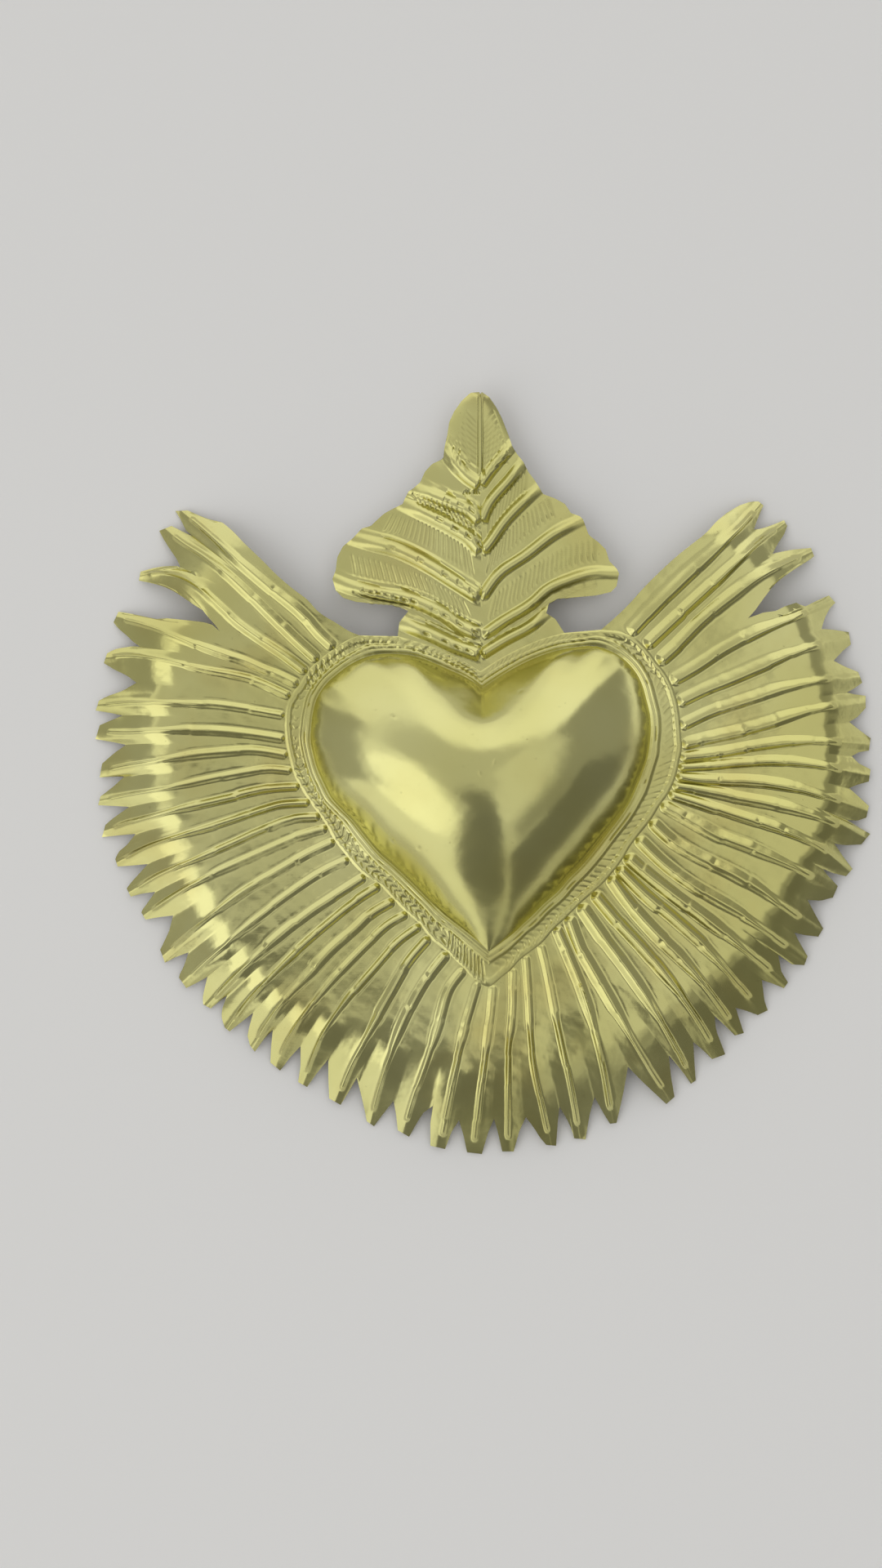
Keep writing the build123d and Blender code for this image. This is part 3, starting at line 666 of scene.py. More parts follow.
crest = {
    "columns": 130,
    "neckColumns": 66,
    "bandRows": (34, 18, 18, 24, 26, 12),
    "neckBandRows": (10, 14),
    "weld": 0.000001,
    "ridgeHeight": 0.0017,
    "ridgeHalfWidth": (0.0025, 0.002),       # left and right
    "ridgeRound": 1.1,
    "ridgeStart": (-0.02, 0.06),             # shares of a ridge's length
    "ridgeFade": (0.75, 1.0),
    "ridgeLoss": 0.55,                       # how much lower a ridge is at its end
    "fineHeight": 0.0005,                    # the fine line above each left ridge
    "fineHalfWidth": 0.0006,
    "fineApart": 0.0031,                     # how far it lies from the ridge's middle
    "rimDrop": 0.0013,
    "rimStartPx": 8,                         # below the neck's end, where the drop begins
    "rimWholePx": 24,                        # above it, where the drop is whole
    "midribPx": 588,
    "midribHeight": 0.0006,
    "midribHalfWidth": 0.0009,
    "midribEndPx": (576, 590),
}
crestPx = (
    [([(588, 486)], [], (587, 480)),
     ([(588, 594), (572, 583), (556, 566)],
      [(576, 481), (565, 491), (556, 504), (550, 517), (548, 531)], (544, 549)),
     ([(589, 639), (578, 628), (545, 613), (520, 603)],
      [(543, 560), (540, 563), (529, 568), (520, 578), (515, 590)], (506, 598)),
     ([(590, 676), (574, 658), (558, 648), (526, 631)], [(500, 602), (495, 612)], (493, 617)),
     ([(589, 733), (556, 712), (515, 687), (479, 671), (450, 664)],
      [(481, 623), (470, 629), (459, 639), (454, 644), (443, 647)], (432, 659)),
     ([(590, 779), (561, 765), (545, 754), (506, 735), (452, 724), (425, 717)],
      [(420, 669), (413, 682), (411, 698)], (407, 709)),
     ([(589, 802), (555, 790), (530, 778), (505, 768)],
      [(411, 723), (420, 732), (436, 737), (457, 739), (481, 741), (491, 744), (500, 748)],
      (489, 762))],
    [([(588, 486)], [], (590, 480)),
     ([(588, 594), (600, 577), (614, 560)],
      [(599, 486), (608, 499), (615, 513), (622, 531)], (627, 546)),
     ([(589, 639), (600, 616), (626, 585)], [(633, 556)], (641, 566)),
     ([(590, 676), (598, 667), (617, 640), (644, 612)], [(647, 578), (654, 587)], (661, 598)),
     ([(589, 733), (611, 703), (644, 680), (680, 653)],
      [(665, 605), (679, 610), (692, 617), (699, 628), (710, 632)], (714, 636)),
     ([(590, 779), (616, 761), (650, 740), (672, 721), (697, 710), (724, 702)],
      [(721, 655), (733, 664), (742, 673), (746, 687), (755, 696)], (758, 702)),
     ([(589, 802), (616, 785), (652, 765)],
      [(755, 718), (748, 725), (730, 729), (697, 732), (683, 733), (672, 739)], (669, 751))],
)
crestNeckPx = ((neckLeftPx, [(488, 770)]), (neckRightPx, [(680, 758)]))
# From the midrib to the corner over the neck, and on along the lobe's lower edge
crestSeamPx = (([(590, 791), (545, 770), (500, 748)],
                [(491, 744), (481, 741), (457, 739), (436, 737), (420, 732), (411, 723)]),
               ([(590, 791), (630, 763), (672, 739)],
                [(683, 733), (697, 732), (730, 729), (748, 725), (755, 718)]))
crestShares = np.linspace(0, 1, crest["columns"] + 1)


def crestLines(side):
    lines = [smoothPath([*row[0], row[2]], crestShares) for row in crestPx[side]]
    return [*lines, smoothPath(crestNeckPx[side][0], crestShares)]


def crestEdges(side):
    # The crest's edge between each line's end and the next
    ends = [row[2] for row in crestPx[side]] + [crestNeckPx[side][0][-1]]
    between = [row[1] for row in crestPx[side][1:]] + [crestNeckPx[side][1]]
    return [[a, *middle, b] for a, middle, b in zip(ends, between, ends[1:])]


def nearest(points, line, shares, batch=10):
    # Distance to a line in metres, and the share of the line where it is nearest
    flat = points.reshape(-1, 2)
    gap, at = np.full(len(flat), np.inf), np.zeros(len(flat))
    for start in range(0, len(line), batch):
        stretch = np.hypot(flat[:, None, 0] - line[None, start:start + batch, 0],
                           flat[:, None, 1] - line[None, start:start + batch, 1])
        low = stretch.argmin(1)
        value = stretch[np.arange(len(flat)), low]
        at = np.where(value < gap, shares[start + low], at)
        gap = np.minimum(gap, value)
    return gap.reshape(points.shape[:-1]) * metresPerPx[0], at.reshape(points.shape[:-1])


def crestPatch(above, below, edge, rows):
    # Fills the space between two lines, the midrib and the crest's edge
    w = np.linspace(0, 1, rows + 1)
    edge = straightPath(edge, w)
    rib = above[0] + (below[0] - above[0]) * w[:, None]
    u, v = np.linspace(0, 1, len(above))[None, :, None], w[:, None, None]
    return ((1 - v) * above[None] + v * below[None] + (1 - u) * rib[:, None] + u * edge[:, None]
            - (1 - u) * ((1 - v) * above[0] + v * below[0])
            - u * ((1 - v) * above[-1] + v * below[-1]))


def joinPatches(patches):
    return np.concatenate([patches[0], *[patch[1:] for patch in patches[1:]]])


def crestSide(side):
    # The leaf down to its lower edge, and the neck beneath it
    lines, edges = crestLines(side), crestEdges(side)
    inner, outer = crestSeamPx[side]
    neckShares = np.linspace(0, 1, crest["neckColumns"] + 1)
    past = np.linspace(0, 1, crest["columns"] - crest["neckColumns"] + 1)[1:]
    seam = np.concatenate([smoothPath(inner, neckShares),
                           straightPath([inner[-1], *outer], past)])
    leaf = [crestPatch(lines[number], lines[number + 1], edges[number], rows)
            for number, rows in enumerate(crest["bandRows"][:-1])]
    lowest, lastRow = lines[-3], crestPx[side][-1]
    leaf.append(crestPatch(lowest, seam, [lowest[-1], seam[-1]], crest["bandRows"][-1]))
    last = smoothPath([*lastRow[0], lastRow[2]], neckShares)
    foot = smoothPath(crestNeckPx[side][0], neckShares)
    ends = [[inner[-1], last[-1]], [last[-1], *crestNeckPx[side][1], foot[-1]]]
    neck = [crestPatch(seam[:len(neckShares)], last, ends[0], crest["neckBandRows"][0]),
            crestPatch(last, foot, ends[1], crest["neckBandRows"][1])]
    return joinPatches(leaf), joinPatches(neck)


def crestLevel(side, points):
    level = np.full(points.shape[:-1], sheet["borderTop"])
    neckEnd = crestNeckPx[side][0][-1][1]
    flat = smoothStep(points[..., 1], neckEnd + crest["rimStartPx"], neckEnd - crest["rimWholePx"])
    level = level - crest["rimDrop"] * crestShares[None, :points.shape[1]] ** 3 * flat
    for line in crestLines(side)[1:-1]:
        gap, at = nearest(points, line, crestShares)
        rise = mound(gap, crest["ridgeHalfWidth"][side]) ** crest["ridgeRound"]
        taper = smoothStep(at, *crest["ridgeStart"])
        taper = taper * (1 - crest["ridgeLoss"] * smoothStep(at, *crest["ridgeFade"]))
        level = level + crest["ridgeHeight"] * rise * taper
        if side == 0:
            fine = mound(gap - crest["fineApart"], crest["fineHalfWidth"])
            above = points[..., 1] < np.interp(points[..., 0], line[::-1, 0], line[::-1, 1])
            level = level + crest["fineHeight"] * fine * taper * above
    rib = mound((points[..., 0] - crest["midribPx"]) * metresPerPx[0], crest["midribHalfWidth"])
    ribEnd = smoothStep(points[..., 1], *crest["midribEndPx"])
    return level + crest["midribHeight"] * rib * (1 - ribEnd)


def buildCrest():
    patches = []
    for left, right in zip(crestSide(0), crestSide(1)):
        points = np.concatenate([left[:, ::-1], right[:, 1:]], 1)
        level = np.concatenate([crestLevel(0, left)[:, ::-1], crestLevel(1, right)[:, 1:]], 1)
        x, y = place(points, level)
        patches.append(meshFromGrid("leafPart", x, y, level + unevenness(x, y)))
    return joinPieces("crestSheet", patches, crest["weld"]), points[-1]


crestSheet, crestFoot = buildCrest()
sheetPieces["crestSheet"] = (crestSheet, "flame_crest", "crestBrass")
print("crest built")

# The border: a ledge at the heart's foot with a fine raised line, a flat punched band, and a
# raised line along the outer edge

border = {
    "rows": 28,
    "gapColumns": 20,
    "ledgeWidth": 0.0026,
    "ledgeEdges": (0.0006, 0.0008),
    "ledgeHeight": 0.0002,
    "ledgeLines": ((0.0011, 0.00026), (0.0023, 0.00038)),    # place and height
    "ledgeLineHalfWidth": 0.0006,
    "edgeLineInset": 0.0011,
    "edgeLineHeight": 0.00035,
    "edgeLineHalfWidth": 0.0011,
    "bandSink": 0.00015,
    "bandStart": (0.0028, 0.0034),   # how far from the foot, and from the outer edge
    "bandEnd": (0.0019, 0.0026),
}


def turnsBetween(start, end, cells):
    a, b = polar(start)[0], polar(end)[0]
    turns = np.linspace(a, b, cells + 1)[1:-1]
    return fromPolar(turns, reachAt(outerLine, turns))


rayStarts = [rayGrid(number)[0][0] for number in range(rayCount)]
neckRow = crestFoot[::-1]
outerPoints = np.concatenate([*[start[:-1] for start in rayStarts], rayStarts[-1][-1:],
                              turnsBetween(rayStarts[-1][-1], neckRow[0], border["gapColumns"]),
                              neckRow,
                              turnsBetween(neckRow[-1], rayStarts[0][0], border["gapColumns"])])
outerTurns = polar(outerPoints)[0]
footPoints = fromPolar(outerTurns, reachAt(footLine, outerTurns))


def buildBorder():
    shares = np.linspace(0, 1, border["rows"] + 1)[:, None, None]
    points = footPoints[None] + (outerPoints - footPoints)[None] * shares
    none = np.zeros(len(outerPoints))
    width, _ = nearest(footPoints, outerPoints, none)
    inner, outer = shares[..., 0] * width, (1 - shares[..., 0]) * width
    rise, drop = border["ledgeEdges"]
    ledge = smoothStep(inner, 0, rise)
    ledge = ledge * (1 - smoothStep(inner, border["ledgeWidth"], border["ledgeWidth"] + drop))
    lines = sum(high * mound(inner - spot, border["ledgeLineHalfWidth"])
                for spot, high in border["ledgeLines"])
    edge = mound(outer - border["edgeLineInset"], border["edgeLineHalfWidth"])
    middle = smoothStep(inner, *border["bandStart"]) * smoothStep(outer, *border["bandEnd"])
    level = (sheet["borderTop"] + border["ledgeHeight"] * ledge + lines
             + border["edgeLineHeight"] * edge - border["bandSink"] * middle)
    x, y = place(points, level)
    return x, y, level + unevenness(x, y)


sheetPieces["borderSheet"] = (meshFromGrid("borderSheet", *buildBorder(), ring=True),
                              "roped_border", "borderBrass")
print("border built")

# The inflated heart

heart = {
    "height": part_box("heart_dome")[1].z - sheet["borderTop"],
    "rows": 78,
    "columnStep": 3,
    "steepness": (1.05, 0.72),       # of the crown, and of the sides; less is steeper
    "footSoftness": 0.07,
    "cleftPx": (590, 843),
    "cleftReachPx": 34.0,
    "cleftEase": 0.4,                # how much lower the skin lies beside the cleft
    "terms": 22,
    "termReachPx": 200,
    "outlinePoints": 1500,
    "rowCrowding": 1.7,
    "footPull": 10,                  # how near the foot the skin is drawn down to the border
    "quietMiddle": 0.35,             # how much of the unevenness the middle has
    "quietReach": 8,
}


def inflation(px, fit=None):
    # How far a skin held along the heart's outline would swell at these places, as a sum of
    # smooth waves fitted to nothing along the outline
    turn, reach = polar(px)
    reach = reach / heart["termReachPx"]
    k = np.arange(1, heart["terms"] + 1)
    turned, grown = turn[..., None] * k, reach[..., None] ** k
    waves = np.concatenate([np.ones_like(reach)[..., None], grown * np.cos(turned),
                            grown * np.sin(turned)], -1)
    if fit is None:
        return np.linalg.lstsq(waves, reach ** 2, rcond=None)[0]
    return waves @ fit - reach ** 2


def buildHeart():
    feet = footPoints[::heart["columnStep"]]
    around = fullTurn(heart["outlinePoints"])
    fit = inflation(fromPolar(around, reachAt(footLine, around)))
    share = 1 - (1 - np.linspace(0, 1, heart["rows"] + 1)[1:, None]) ** heart["rowCrowding"]
    flat = heartMiddlePx + (feet - heartMiddlePx)[None] * share[..., None]
    swell = inflation(flat, fit) - inflation(feet, fit)[None] * share ** heart["footPull"]
    swell = np.clip(swell / swell.max(), 0, 1)
    flatness, foot = heart["steepness"]
    soft = heart["footSoftness"]
    rise = 1 - (1 - swell) ** flatness
    rise = ((rise + soft) ** foot - soft ** foot) / ((1 + soft) ** foot - soft ** foot)
    fromCleft = np.hypot(*np.moveaxis(flat - np.array(heart["cleftPx"]), -1, 0))
    rise = rise * (1 - heart["cleftEase"] * bell(fromCleft, heart["cleftReachPx"]))
    rise[-1] = 0
    level = sheet["borderTop"] + heart["height"] * rise
    x, y = place(flat, level)
    quiet = heart["quietMiddle"]
    z = level + unevenness(x, y) * (quiet + (1 - quiet) * share ** heart["quietReach"])
    top = float(level[0].mean())
    poleX, poleY = place(heartMiddlePx, top)
    return (x, y, z), (float(poleX), float(poleY), top)


heartGrid, heartPole = buildHeart()
sheetPieces["heartSheet"] = (meshFromGrid("heartSheet", *heartGrid, ring=True,
                                          poles=[heartPole]), "heart_dome", "heartBrass")
print("heart built")

# Punched and chased marks. Each mark is a short line on the plan; a node tree presses it into
# the sheet beneath it.


def marksObject(name, strokes, level):
    points, edges = [], []
    for stroke in strokes:
        x, y = place(stroke, level)
        first = len(points)
        points += [(float(a), float(b), 0.0) for a, b in zip(x, y)]
        edges += [(first + k, first + k + 1) for k in range(len(stroke) - 1)]
    return addMesh(name, points, edges, [])


def feed(node, inputs):
    # Gives a node's inputs their values, or links them to another node's output
    for socket, value in inputs.items():
        if isinstance(value, bpy.types.NodeSocket):
            node.id_data.links.new(value, node.inputs[socket])
        else:
            node.inputs[socket].default_value = value
    return node


def addNode(tree, kind, inputs={}, **settings):
    node = tree.nodes.new(kind)
    for label, value in settings.items():
        setattr(node, label, value)
    return feed(node, inputs)


def reckon(add, operation, *values):
    return add("ShaderNodeMath", dict(enumerate(values)), operation=operation).outputs[0]


def spread(add, value, low, high, newLow=0, newHigh=1, **settings):
    return add("ShaderNodeMapRange", {"Value": value, "From Min": low, "From Max": high,
                                      "To Min": newLow, "To Max": newHigh}, **settings).outputs[0]


chasing = {"noiseScale": 260, "noiseSeed": 3.0, "fullDepth": (0.35, 0.6)}


def makeChasingTree():
    tree = bpy.data.node_groups.new("chasedMarks", "GeometryNodeTree")
    for label, kind, way in (("Geometry", "Geometry", "INPUT"), ("Marks", "Object", "INPUT"),
                             ("Half Width", "Float", "INPUT"), ("Depth", "Float", "INPUT"),
                             ("Unevenness", "Float", "INPUT"), ("Finish", "Material", "INPUT"),
                             ("Geometry", "Geometry", "OUTPUT")):
        tree.interface.new_socket(label, in_out=way, socket_type="NodeSocket" + kind)
    add = functools.partial(addNode, tree)
    entry, spot = add("NodeGroupInput").outputs, add("GeometryNodeInputPosition").outputs[0]
    onPlan = add("ShaderNodeVectorMath", {0: spot, 1: (1, 1, 0)}, operation="MULTIPLY")
    marks = add("GeometryNodeObjectInfo", {"Object": entry["Marks"]}, transform_space="RELATIVE")
    near = add("GeometryNodeProximity", {0: marks.outputs["Geometry"],
                                         "Sample Position": onPlan.outputs[0]},
               target_element="EDGES")
    press = spread(add, near.outputs["Distance"], 0, entry["Half Width"], 1, 0,
                   interpolation_type="SMOOTHSTEP")
    noise = add("ShaderNodeTexNoise", {"Vector": spot, "W": chasing["noiseSeed"],
                                       "Scale": chasing["noiseScale"]}, noise_dimensions="4D")
    least = reckon(add, "SUBTRACT", 1, entry["Unevenness"])
    strength = reckon(add, "MULTIPLY", press,
                      spread(add, noise.outputs[0], *chasing["fullDepth"], least))
    down = reckon(add, "MULTIPLY", strength, reckon(add, "MULTIPLY", entry["Depth"], -1))
    earlier = add("GeometryNodeInputNamedAttribute", {"Name": "chase"}, data_type="FLOAT")
    deepest = reckon(add, "MAXIMUM", earlier.outputs["Attribute"], strength)
    store = add("GeometryNodeStoreNamedAttribute",
                {"Geometry": entry["Geometry"], "Name": "chase", "Value": deepest},
                data_type="FLOAT", domain="POINT")
    move = add("GeometryNodeSetPosition",
               {"Geometry": store.outputs[0],
                "Offset": add("ShaderNodeCombineXYZ", {"Z": down}).outputs[0]})
    real = add("GeometryNodeRealizeInstances", {0: move.outputs[0]})
    paint = add("GeometryNodeSetMaterial", {"Geometry": real.outputs[0],
                                            "Material": entry["Finish"]})
    add("NodeGroupOutput", {0: paint.outputs[0]})
    return tree


chasingTree = makeChasingTree()


def pressMarks(piece, marks, halfWidth, depth, unevenDepth, finish):
    press = piece.modifiers.new(marks.name, "NODES")
    press.node_group = chasingTree
    values = {"Marks": marks, "Half Width": halfWidth, "Depth": depth, "Unevenness": unevenDepth,
              "Finish": finish}
    for item in chasingTree.interface.items_tree:
        if item.item_type == "SOCKET" and item.in_out == "INPUT" and item.name in values:
            press[item.identifier] = values[item.name]


def bandPoint(turn, share):
    # A place on the border, by direction from the heart's middle and share of its width
    inner = fromPolar(turn, reachAt(footLine, turn))
    outer = fromPolar(turn, reachAt(outerLine, turn))
    return inner + (outer - inner) * share


# The punched band, in stretches by direction in degrees: where they begin and end, how far
# apart the marks are in pixels, the shares of the band's width that they cross, how far they
# lean towards lower angles in pixels, and what they look like

ropeBands = {
    "broad": [(114, 152, 8.4, (0.42, 0.86), 9, "stroke")],
    "plain": [(93, 114, 5.4, (0.42, 0.6), 4, "stroke"), (93, 114, 5.4, (0.66, 0.84), 4, "stroke"),
              (176, 206, 9, (0.44, 0.82), -8, "hook"), (206, 258, 9.5, (0.42, 0.82), -7, "curl"),
              (258, 270, 4.6, (0.4, 0.86), -2, "stroke")],
    "faint": [(152, 176, 13, (0.52, 0.74), 2, "hook"), (274, 300, 9, (0.45, 0.8), -5, "hook"),
              (300, 392, 9.5, (0.46, 0.8), -7, "stroke"),
              (392, 418, 10, (0.42, 0.78), -3, "curl"),
              (418, 447, 6.5, (0.42, 0.86), 6, "stroke")],
}
# How far each kind bows aside in pixels, and how many half waves it has
ropeKinds = {"stroke": (0.75, 1), "hook": (4.5, 1), "curl": (5.2, 2)}
ropeMarks = {"cells": 6, "endDraw": 0.04, "stepDraw": (0.8, 1.2)}


def ropeStrokes(band, seed):
    draw = random.Random(seed)
    strokes = []
    for begin, end, apart, shares, lean, kind in ropeBands[band]:
        turn = math.radians(begin)
        bow, halfWaves = ropeKinds[kind]
        while turn < math.radians(end):
            reach = float(reachAt(outerLine, turn))
            low, high = (share + draw.uniform(-ropeMarks["endDraw"], ropeMarks["endDraw"])
                         for share in shares)
            leanTurn = lean / reach * draw.uniform(*ropeMarks["stepDraw"])
            points = []
            for share in np.arange(ropeMarks["cells"] + 1) / ropeMarks["cells"]:
                swing = bow * math.sin(halfWaves * math.pi * share) / reach
                points.append(bandPoint(turn + swing - leanTurn * (share - 0.5),
                                        low + (high - low) * share))
            strokes.append(points)
            turn += apart / reach * draw.uniform(*ropeMarks["stepDraw"])
    return strokes


# Veins between the chevrons: for each band and side, the shares of the band's height that
# they cross, how far apart they are and how far they lean outwards

veinBands = {2: (0.25, 0.7), 3: (0.25, 0.62), 4: (0.36, 0.72), 5: (0.25, 0.55)}
veins = {
    "apartPx": 7.6,
    "apartDraw": (0.85, 1.15),
    "leanPx": 11,
    "leanCurl": 0.3,
    "endsPx": (14, 16),              # how far from the midrib and from the edge they stay
    "lastShare": 0.99,
    "cellShares": (0, 0.25, 0.5, 0.75, 1),
    "tipCount": 11,                  # and the barbs in the crest's tip
    "tipTopPx": 502,
    "tipApartPx": 6.2,
    "tipStartPx": 5,
    "tipReachPx": (12, 2.2, 28),     # the first one's, how much more each has, the last ones'
    "tipGrowing": 8,
    "tipShares": (0, 0.33, 0.66, 1),
    "tipFallPx": (16, -17, 3),       # where a barb begins, its slope and its bend
    "seed": 21,
}


def betweenColumns(line, column):
    left = int(column)
    return line[left] + (line[left + 1] - line[left]) * (column - left)


def veinStrokes():
    draw = random.Random(veins["seed"])
    strokes = []
    for side in (0, 1):
        lines = crestLines(side)
        for band, (low, high) in veinBands.items():
            above, below = lines[band], lines[band + 1]
            length = np.hypot(*np.diff(below, axis=0).T).sum()
            at, last = veins["endsPx"][0], length - veins["endsPx"][1]
            while at < last:
                stroke = []
                for t in veins["cellShares"]:
                    lean = veins["leanPx"] / length * (t + veins["leanCurl"] * t * t)
                    column = min(veins["lastShare"], at / length + lean) * crest["columns"]
                    a, b = betweenColumns(above, column), betweenColumns(below, column)
                    stroke.append(a + (b - a) * (high + (low - high) * t))
                strokes.append(stroke)
                at += veins["apartPx"] * draw.uniform(*veins["apartDraw"])
        first, more, most = veins["tipReachPx"]
        start, slope, curl = veins["tipFallPx"]
        for k in range(veins["tipCount"]):
            y = veins["tipTopPx"] + k * veins["tipApartPx"] + start
            reach = first + more * k if k < veins["tipGrowing"] else most
            strokes.append([(crest["midribPx"] + (-1, 1)[side] * (veins["tipStartPx"] + reach * t),
                             y + slope * t + curl * t * t) for t in veins["tipShares"]])
    return strokes


# Short dashes along the ridges: the middle of each, and its slope in degrees
dashHalfLengthPx = 3.2
dashPx = [(547, 614, 25), (564, 620, 30), (578, 627, 40), (539, 637, 30), (558, 648, 32),
          (574, 658, 38), (587, 668, 45), (479, 671, 25), (515, 687, 30), (545, 705, 32),
          (563, 716, 34), (578, 726, 36), (447, 724, 12), (455, 726, 12), (464, 727, 14),
          (474, 730, 16), (484, 732, 18), (495, 735, 20), (506, 737, 22), (532, 748, 28),
          (546, 755, 28), (563, 765, 30), (582, 775, 32), (522, 777, 22), (545, 786, 24),
          (560, 793, 26), (574, 798, 26), (572, 603, 4), (584, 603, 4), (592, 580, 75)]


def dashStrokes():
    strokes = []
    for x, y, lean in dashPx:
        reach = dashHalfLengthPx * direction(lean)
        strokes.append([(x, y) - reach, (x, y) + reach])
    return strokes


pitLengthPx = 0.6
pitPx = [(588, 947), (640, 843), (606, 933), (481, 876), (470, 838), (479, 1031), (512, 1040)]


# Brass. Colour and gloss drift over the sheet, chased lines hold a darker tarnish, and fine
# wiping scratches and hammer texture break up the shine.

brass = {
    "pale": (0.67, 0.645, 0.285, 1),
    "olive": (0.585, 0.555, 0.205, 1),
    "warm": (0.54, 0.46, 0.15, 1),
    "tarnish": (0.24, 0.21, 0.07, 1),
    "reverse": (0.36, 0.3, 0.12, 1),         # the sheet's dull underside
    # Patterns: scale, detail, and the levels between which the noise takes hold
    "drift": (16.0, 3, 0.35, 0.65),
    "warmth": (42.0, 5, 0.5, 0.75),
    "specks": (900.0, 2, 0.7, 0.8),
    "blotches": (55.0, 5, 0.35, 0.65),
    "gloss": (60.0, 4, 0.35, 0.65),
    "scratches": (1.0, 2),
    "dents": (210.0, 2),
    "warmGain": 2.4,
    "grooveLevels": (0.3, 1, 0, 0.32),
    "speckShare": 0.35,
    "underLevels": (-0.35, -0.1),            # how far the surface has to face down
    "leastReverse": 0.55,
    "reverseRoughness": 0.2,                 # how much rougher the underside is
    "scratchScale": (160.0, 2600.0, 900.0),
    "scratchTurn": (0, 0, 0.5),
    "scratchDepth": 0.0001,
    "dentDepth": 0.0008,
}
finishes = {
    "heartBrass": {"roughness": (0.13, 0.2), "dents": 0.04, "scratch": 0.03, "warmShare": 0.1},
    "borderBrass": {"roughness": (0.2, 0.32), "dents": 0.2, "scratch": 0.05, "warmShare": 0.2},
    "crestBrass": {"roughness": (0.2, 0.3), "dents": 0.12, "scratch": 0.06, "warmShare": 0.16},
    "featherBrass": {"roughness": (0.13, 0.24), "dents": 0.12, "scratch": 0.05, "warmShare": 0.2},
    "rayBrass": {"roughness": (0.13, 0.24), "dents": 0.12, "scratch": 0.05, "warmShare": 0.22},
    "strapBrass": {"roughness": (0.3, 0.45), "dents": 0.25, "scratch": 0.3, "warmShare": 0.45,
                   "reverseShare": 0},
    "ringBrass": {"roughness": (0.22, 0.36), "dents": 0.1, "scratch": 0.2, "warmShare": 0.35,
                  "reverseShare": 0},
}


def newFinish(name):
    finish = bpy.data.materials.new(name)
    finish.use_nodes = True
    finish.node_tree.nodes.clear()
    add = functools.partial(addNode, finish.node_tree)
    shader = add("ShaderNodeBsdfPrincipled")
    add("ShaderNodeOutputMaterial", {0: shader.outputs[0]})
    return finish, add, shader


def noiseAt(add, spot, scale, detail):
    return add("ShaderNodeTexNoise", {"Scale": scale, "Detail": detail, "Vector": spot}).outputs[0]


def pattern(add, spot, look, newLow=0, newHigh=1):
    scale, detail, low, high = look
    return spread(add, noiseAt(add, spot, scale, detail), low, high, newLow, newHigh)


def mixColour(add, share, first, second):
    return add("ShaderNodeMix", {"Factor": share, 6: first, 7: second}, data_type="RGBA").outputs[2]


def bumpOf(add, height, strength, depth, **inputs):
    return add("ShaderNodeBump", {"Height": height, "Strength": strength, "Distance": depth,
                                  **inputs}).outputs[0]


def makeBrass(name):
    look = finishes[name]
    finish, add, shader = newFinish(name)
    spot = add("ShaderNodeTexCoord").outputs["Object"]
    colour = mixColour(add, pattern(add, spot, brass["drift"]), brass["pale"], brass["olive"])
    warmth = pattern(add, spot, brass["warmth"], 0, look["warmShare"] * brass["warmGain"])
    colour = mixColour(add, warmth, colour, brass["warm"])
    chased = add("ShaderNodeAttribute", attribute_name="chase").outputs["Fac"]
    colour = mixColour(add, spread(add, chased, *brass["grooveLevels"]), colour, brass["tarnish"])
    specks = pattern(add, spot, brass["specks"], 0, brass["speckShare"])
    colour = mixColour(add, specks, colour, brass["tarnish"])
    facing = add("ShaderNodeSeparateXYZ",
                 {0: add("ShaderNodeNewGeometry").outputs["True Normal"]})
    isUnder = spread(add, facing.outputs["Z"], *brass["underLevels"],
                     look.get("reverseShare", 1), 0)
    dull = reckon(add, "MULTIPLY", isUnder,
                  pattern(add, spot, brass["blotches"], brass["leastReverse"]))
    polish = pattern(add, spot, brass["gloss"], *look["roughness"])
    turned = add("ShaderNodeMapping", {"Scale": brass["scratchScale"],
                                       "Rotation": brass["scratchTurn"], "Vector": spot})
    scratches = bumpOf(add, noiseAt(add, turned.outputs[0], *brass["scratches"]), look["scratch"],
                       brass["scratchDepth"])
    feed(shader, {
        "Base Color": mixColour(add, dull, colour, brass["reverse"]),
        "Metallic": 1,
        "Roughness": reckon(add, "MULTIPLY_ADD", dull, brass["reverseRoughness"], polish),
        "Normal": bumpOf(add, noiseAt(add, spot, *brass["dents"]), look["dents"],
                         brass["dentDepth"], Normal=scratches),
    })
    return finish


brassFinish = {name: makeBrass(name) for name in finishes}
print("brass ready")

# Press the marks in, give the sheet its thickness and bake each piece

# For each sheet: the marks, and their half width, depth and unevenness
markSets = {
    "borderSheet": [("broadMarks", ropeStrokes("broad", 30), 0.00072, 0.0005, 0.25),
                    ("ropeMarks", ropeStrokes("plain", 31), 0.00055, 0.00045, 0.5),
                    ("faintRopeMarks", ropeStrokes("faint", 32), 0.0005, 0.0002, 0.6)],
    "crestSheet": [("veins", veinStrokes(), 0.0006, 0.00024, 0.35),
                   ("dashes", dashStrokes(), 0.0006, 0.0008, 0.3)],
    "heartSheet": [("pits", [[(x, y), (x + pitLengthPx, y)] for x, y in pitPx], 0.0008, 0.00012,
                    0.0)],
}


def bakeMesh(piece):
    bpy.context.view_layer.update()
    whole = piece.evaluated_get(bpy.context.evaluated_depsgraph_get())
    mesh = bpy.data.meshes.new_from_object(whole)
    piece.modifiers.clear()
    piece.data = mesh
    mesh.shade_smooth()
    mesh.set_sharp_from_angle(angle=math.radians(sheet["sharpAngle"]))


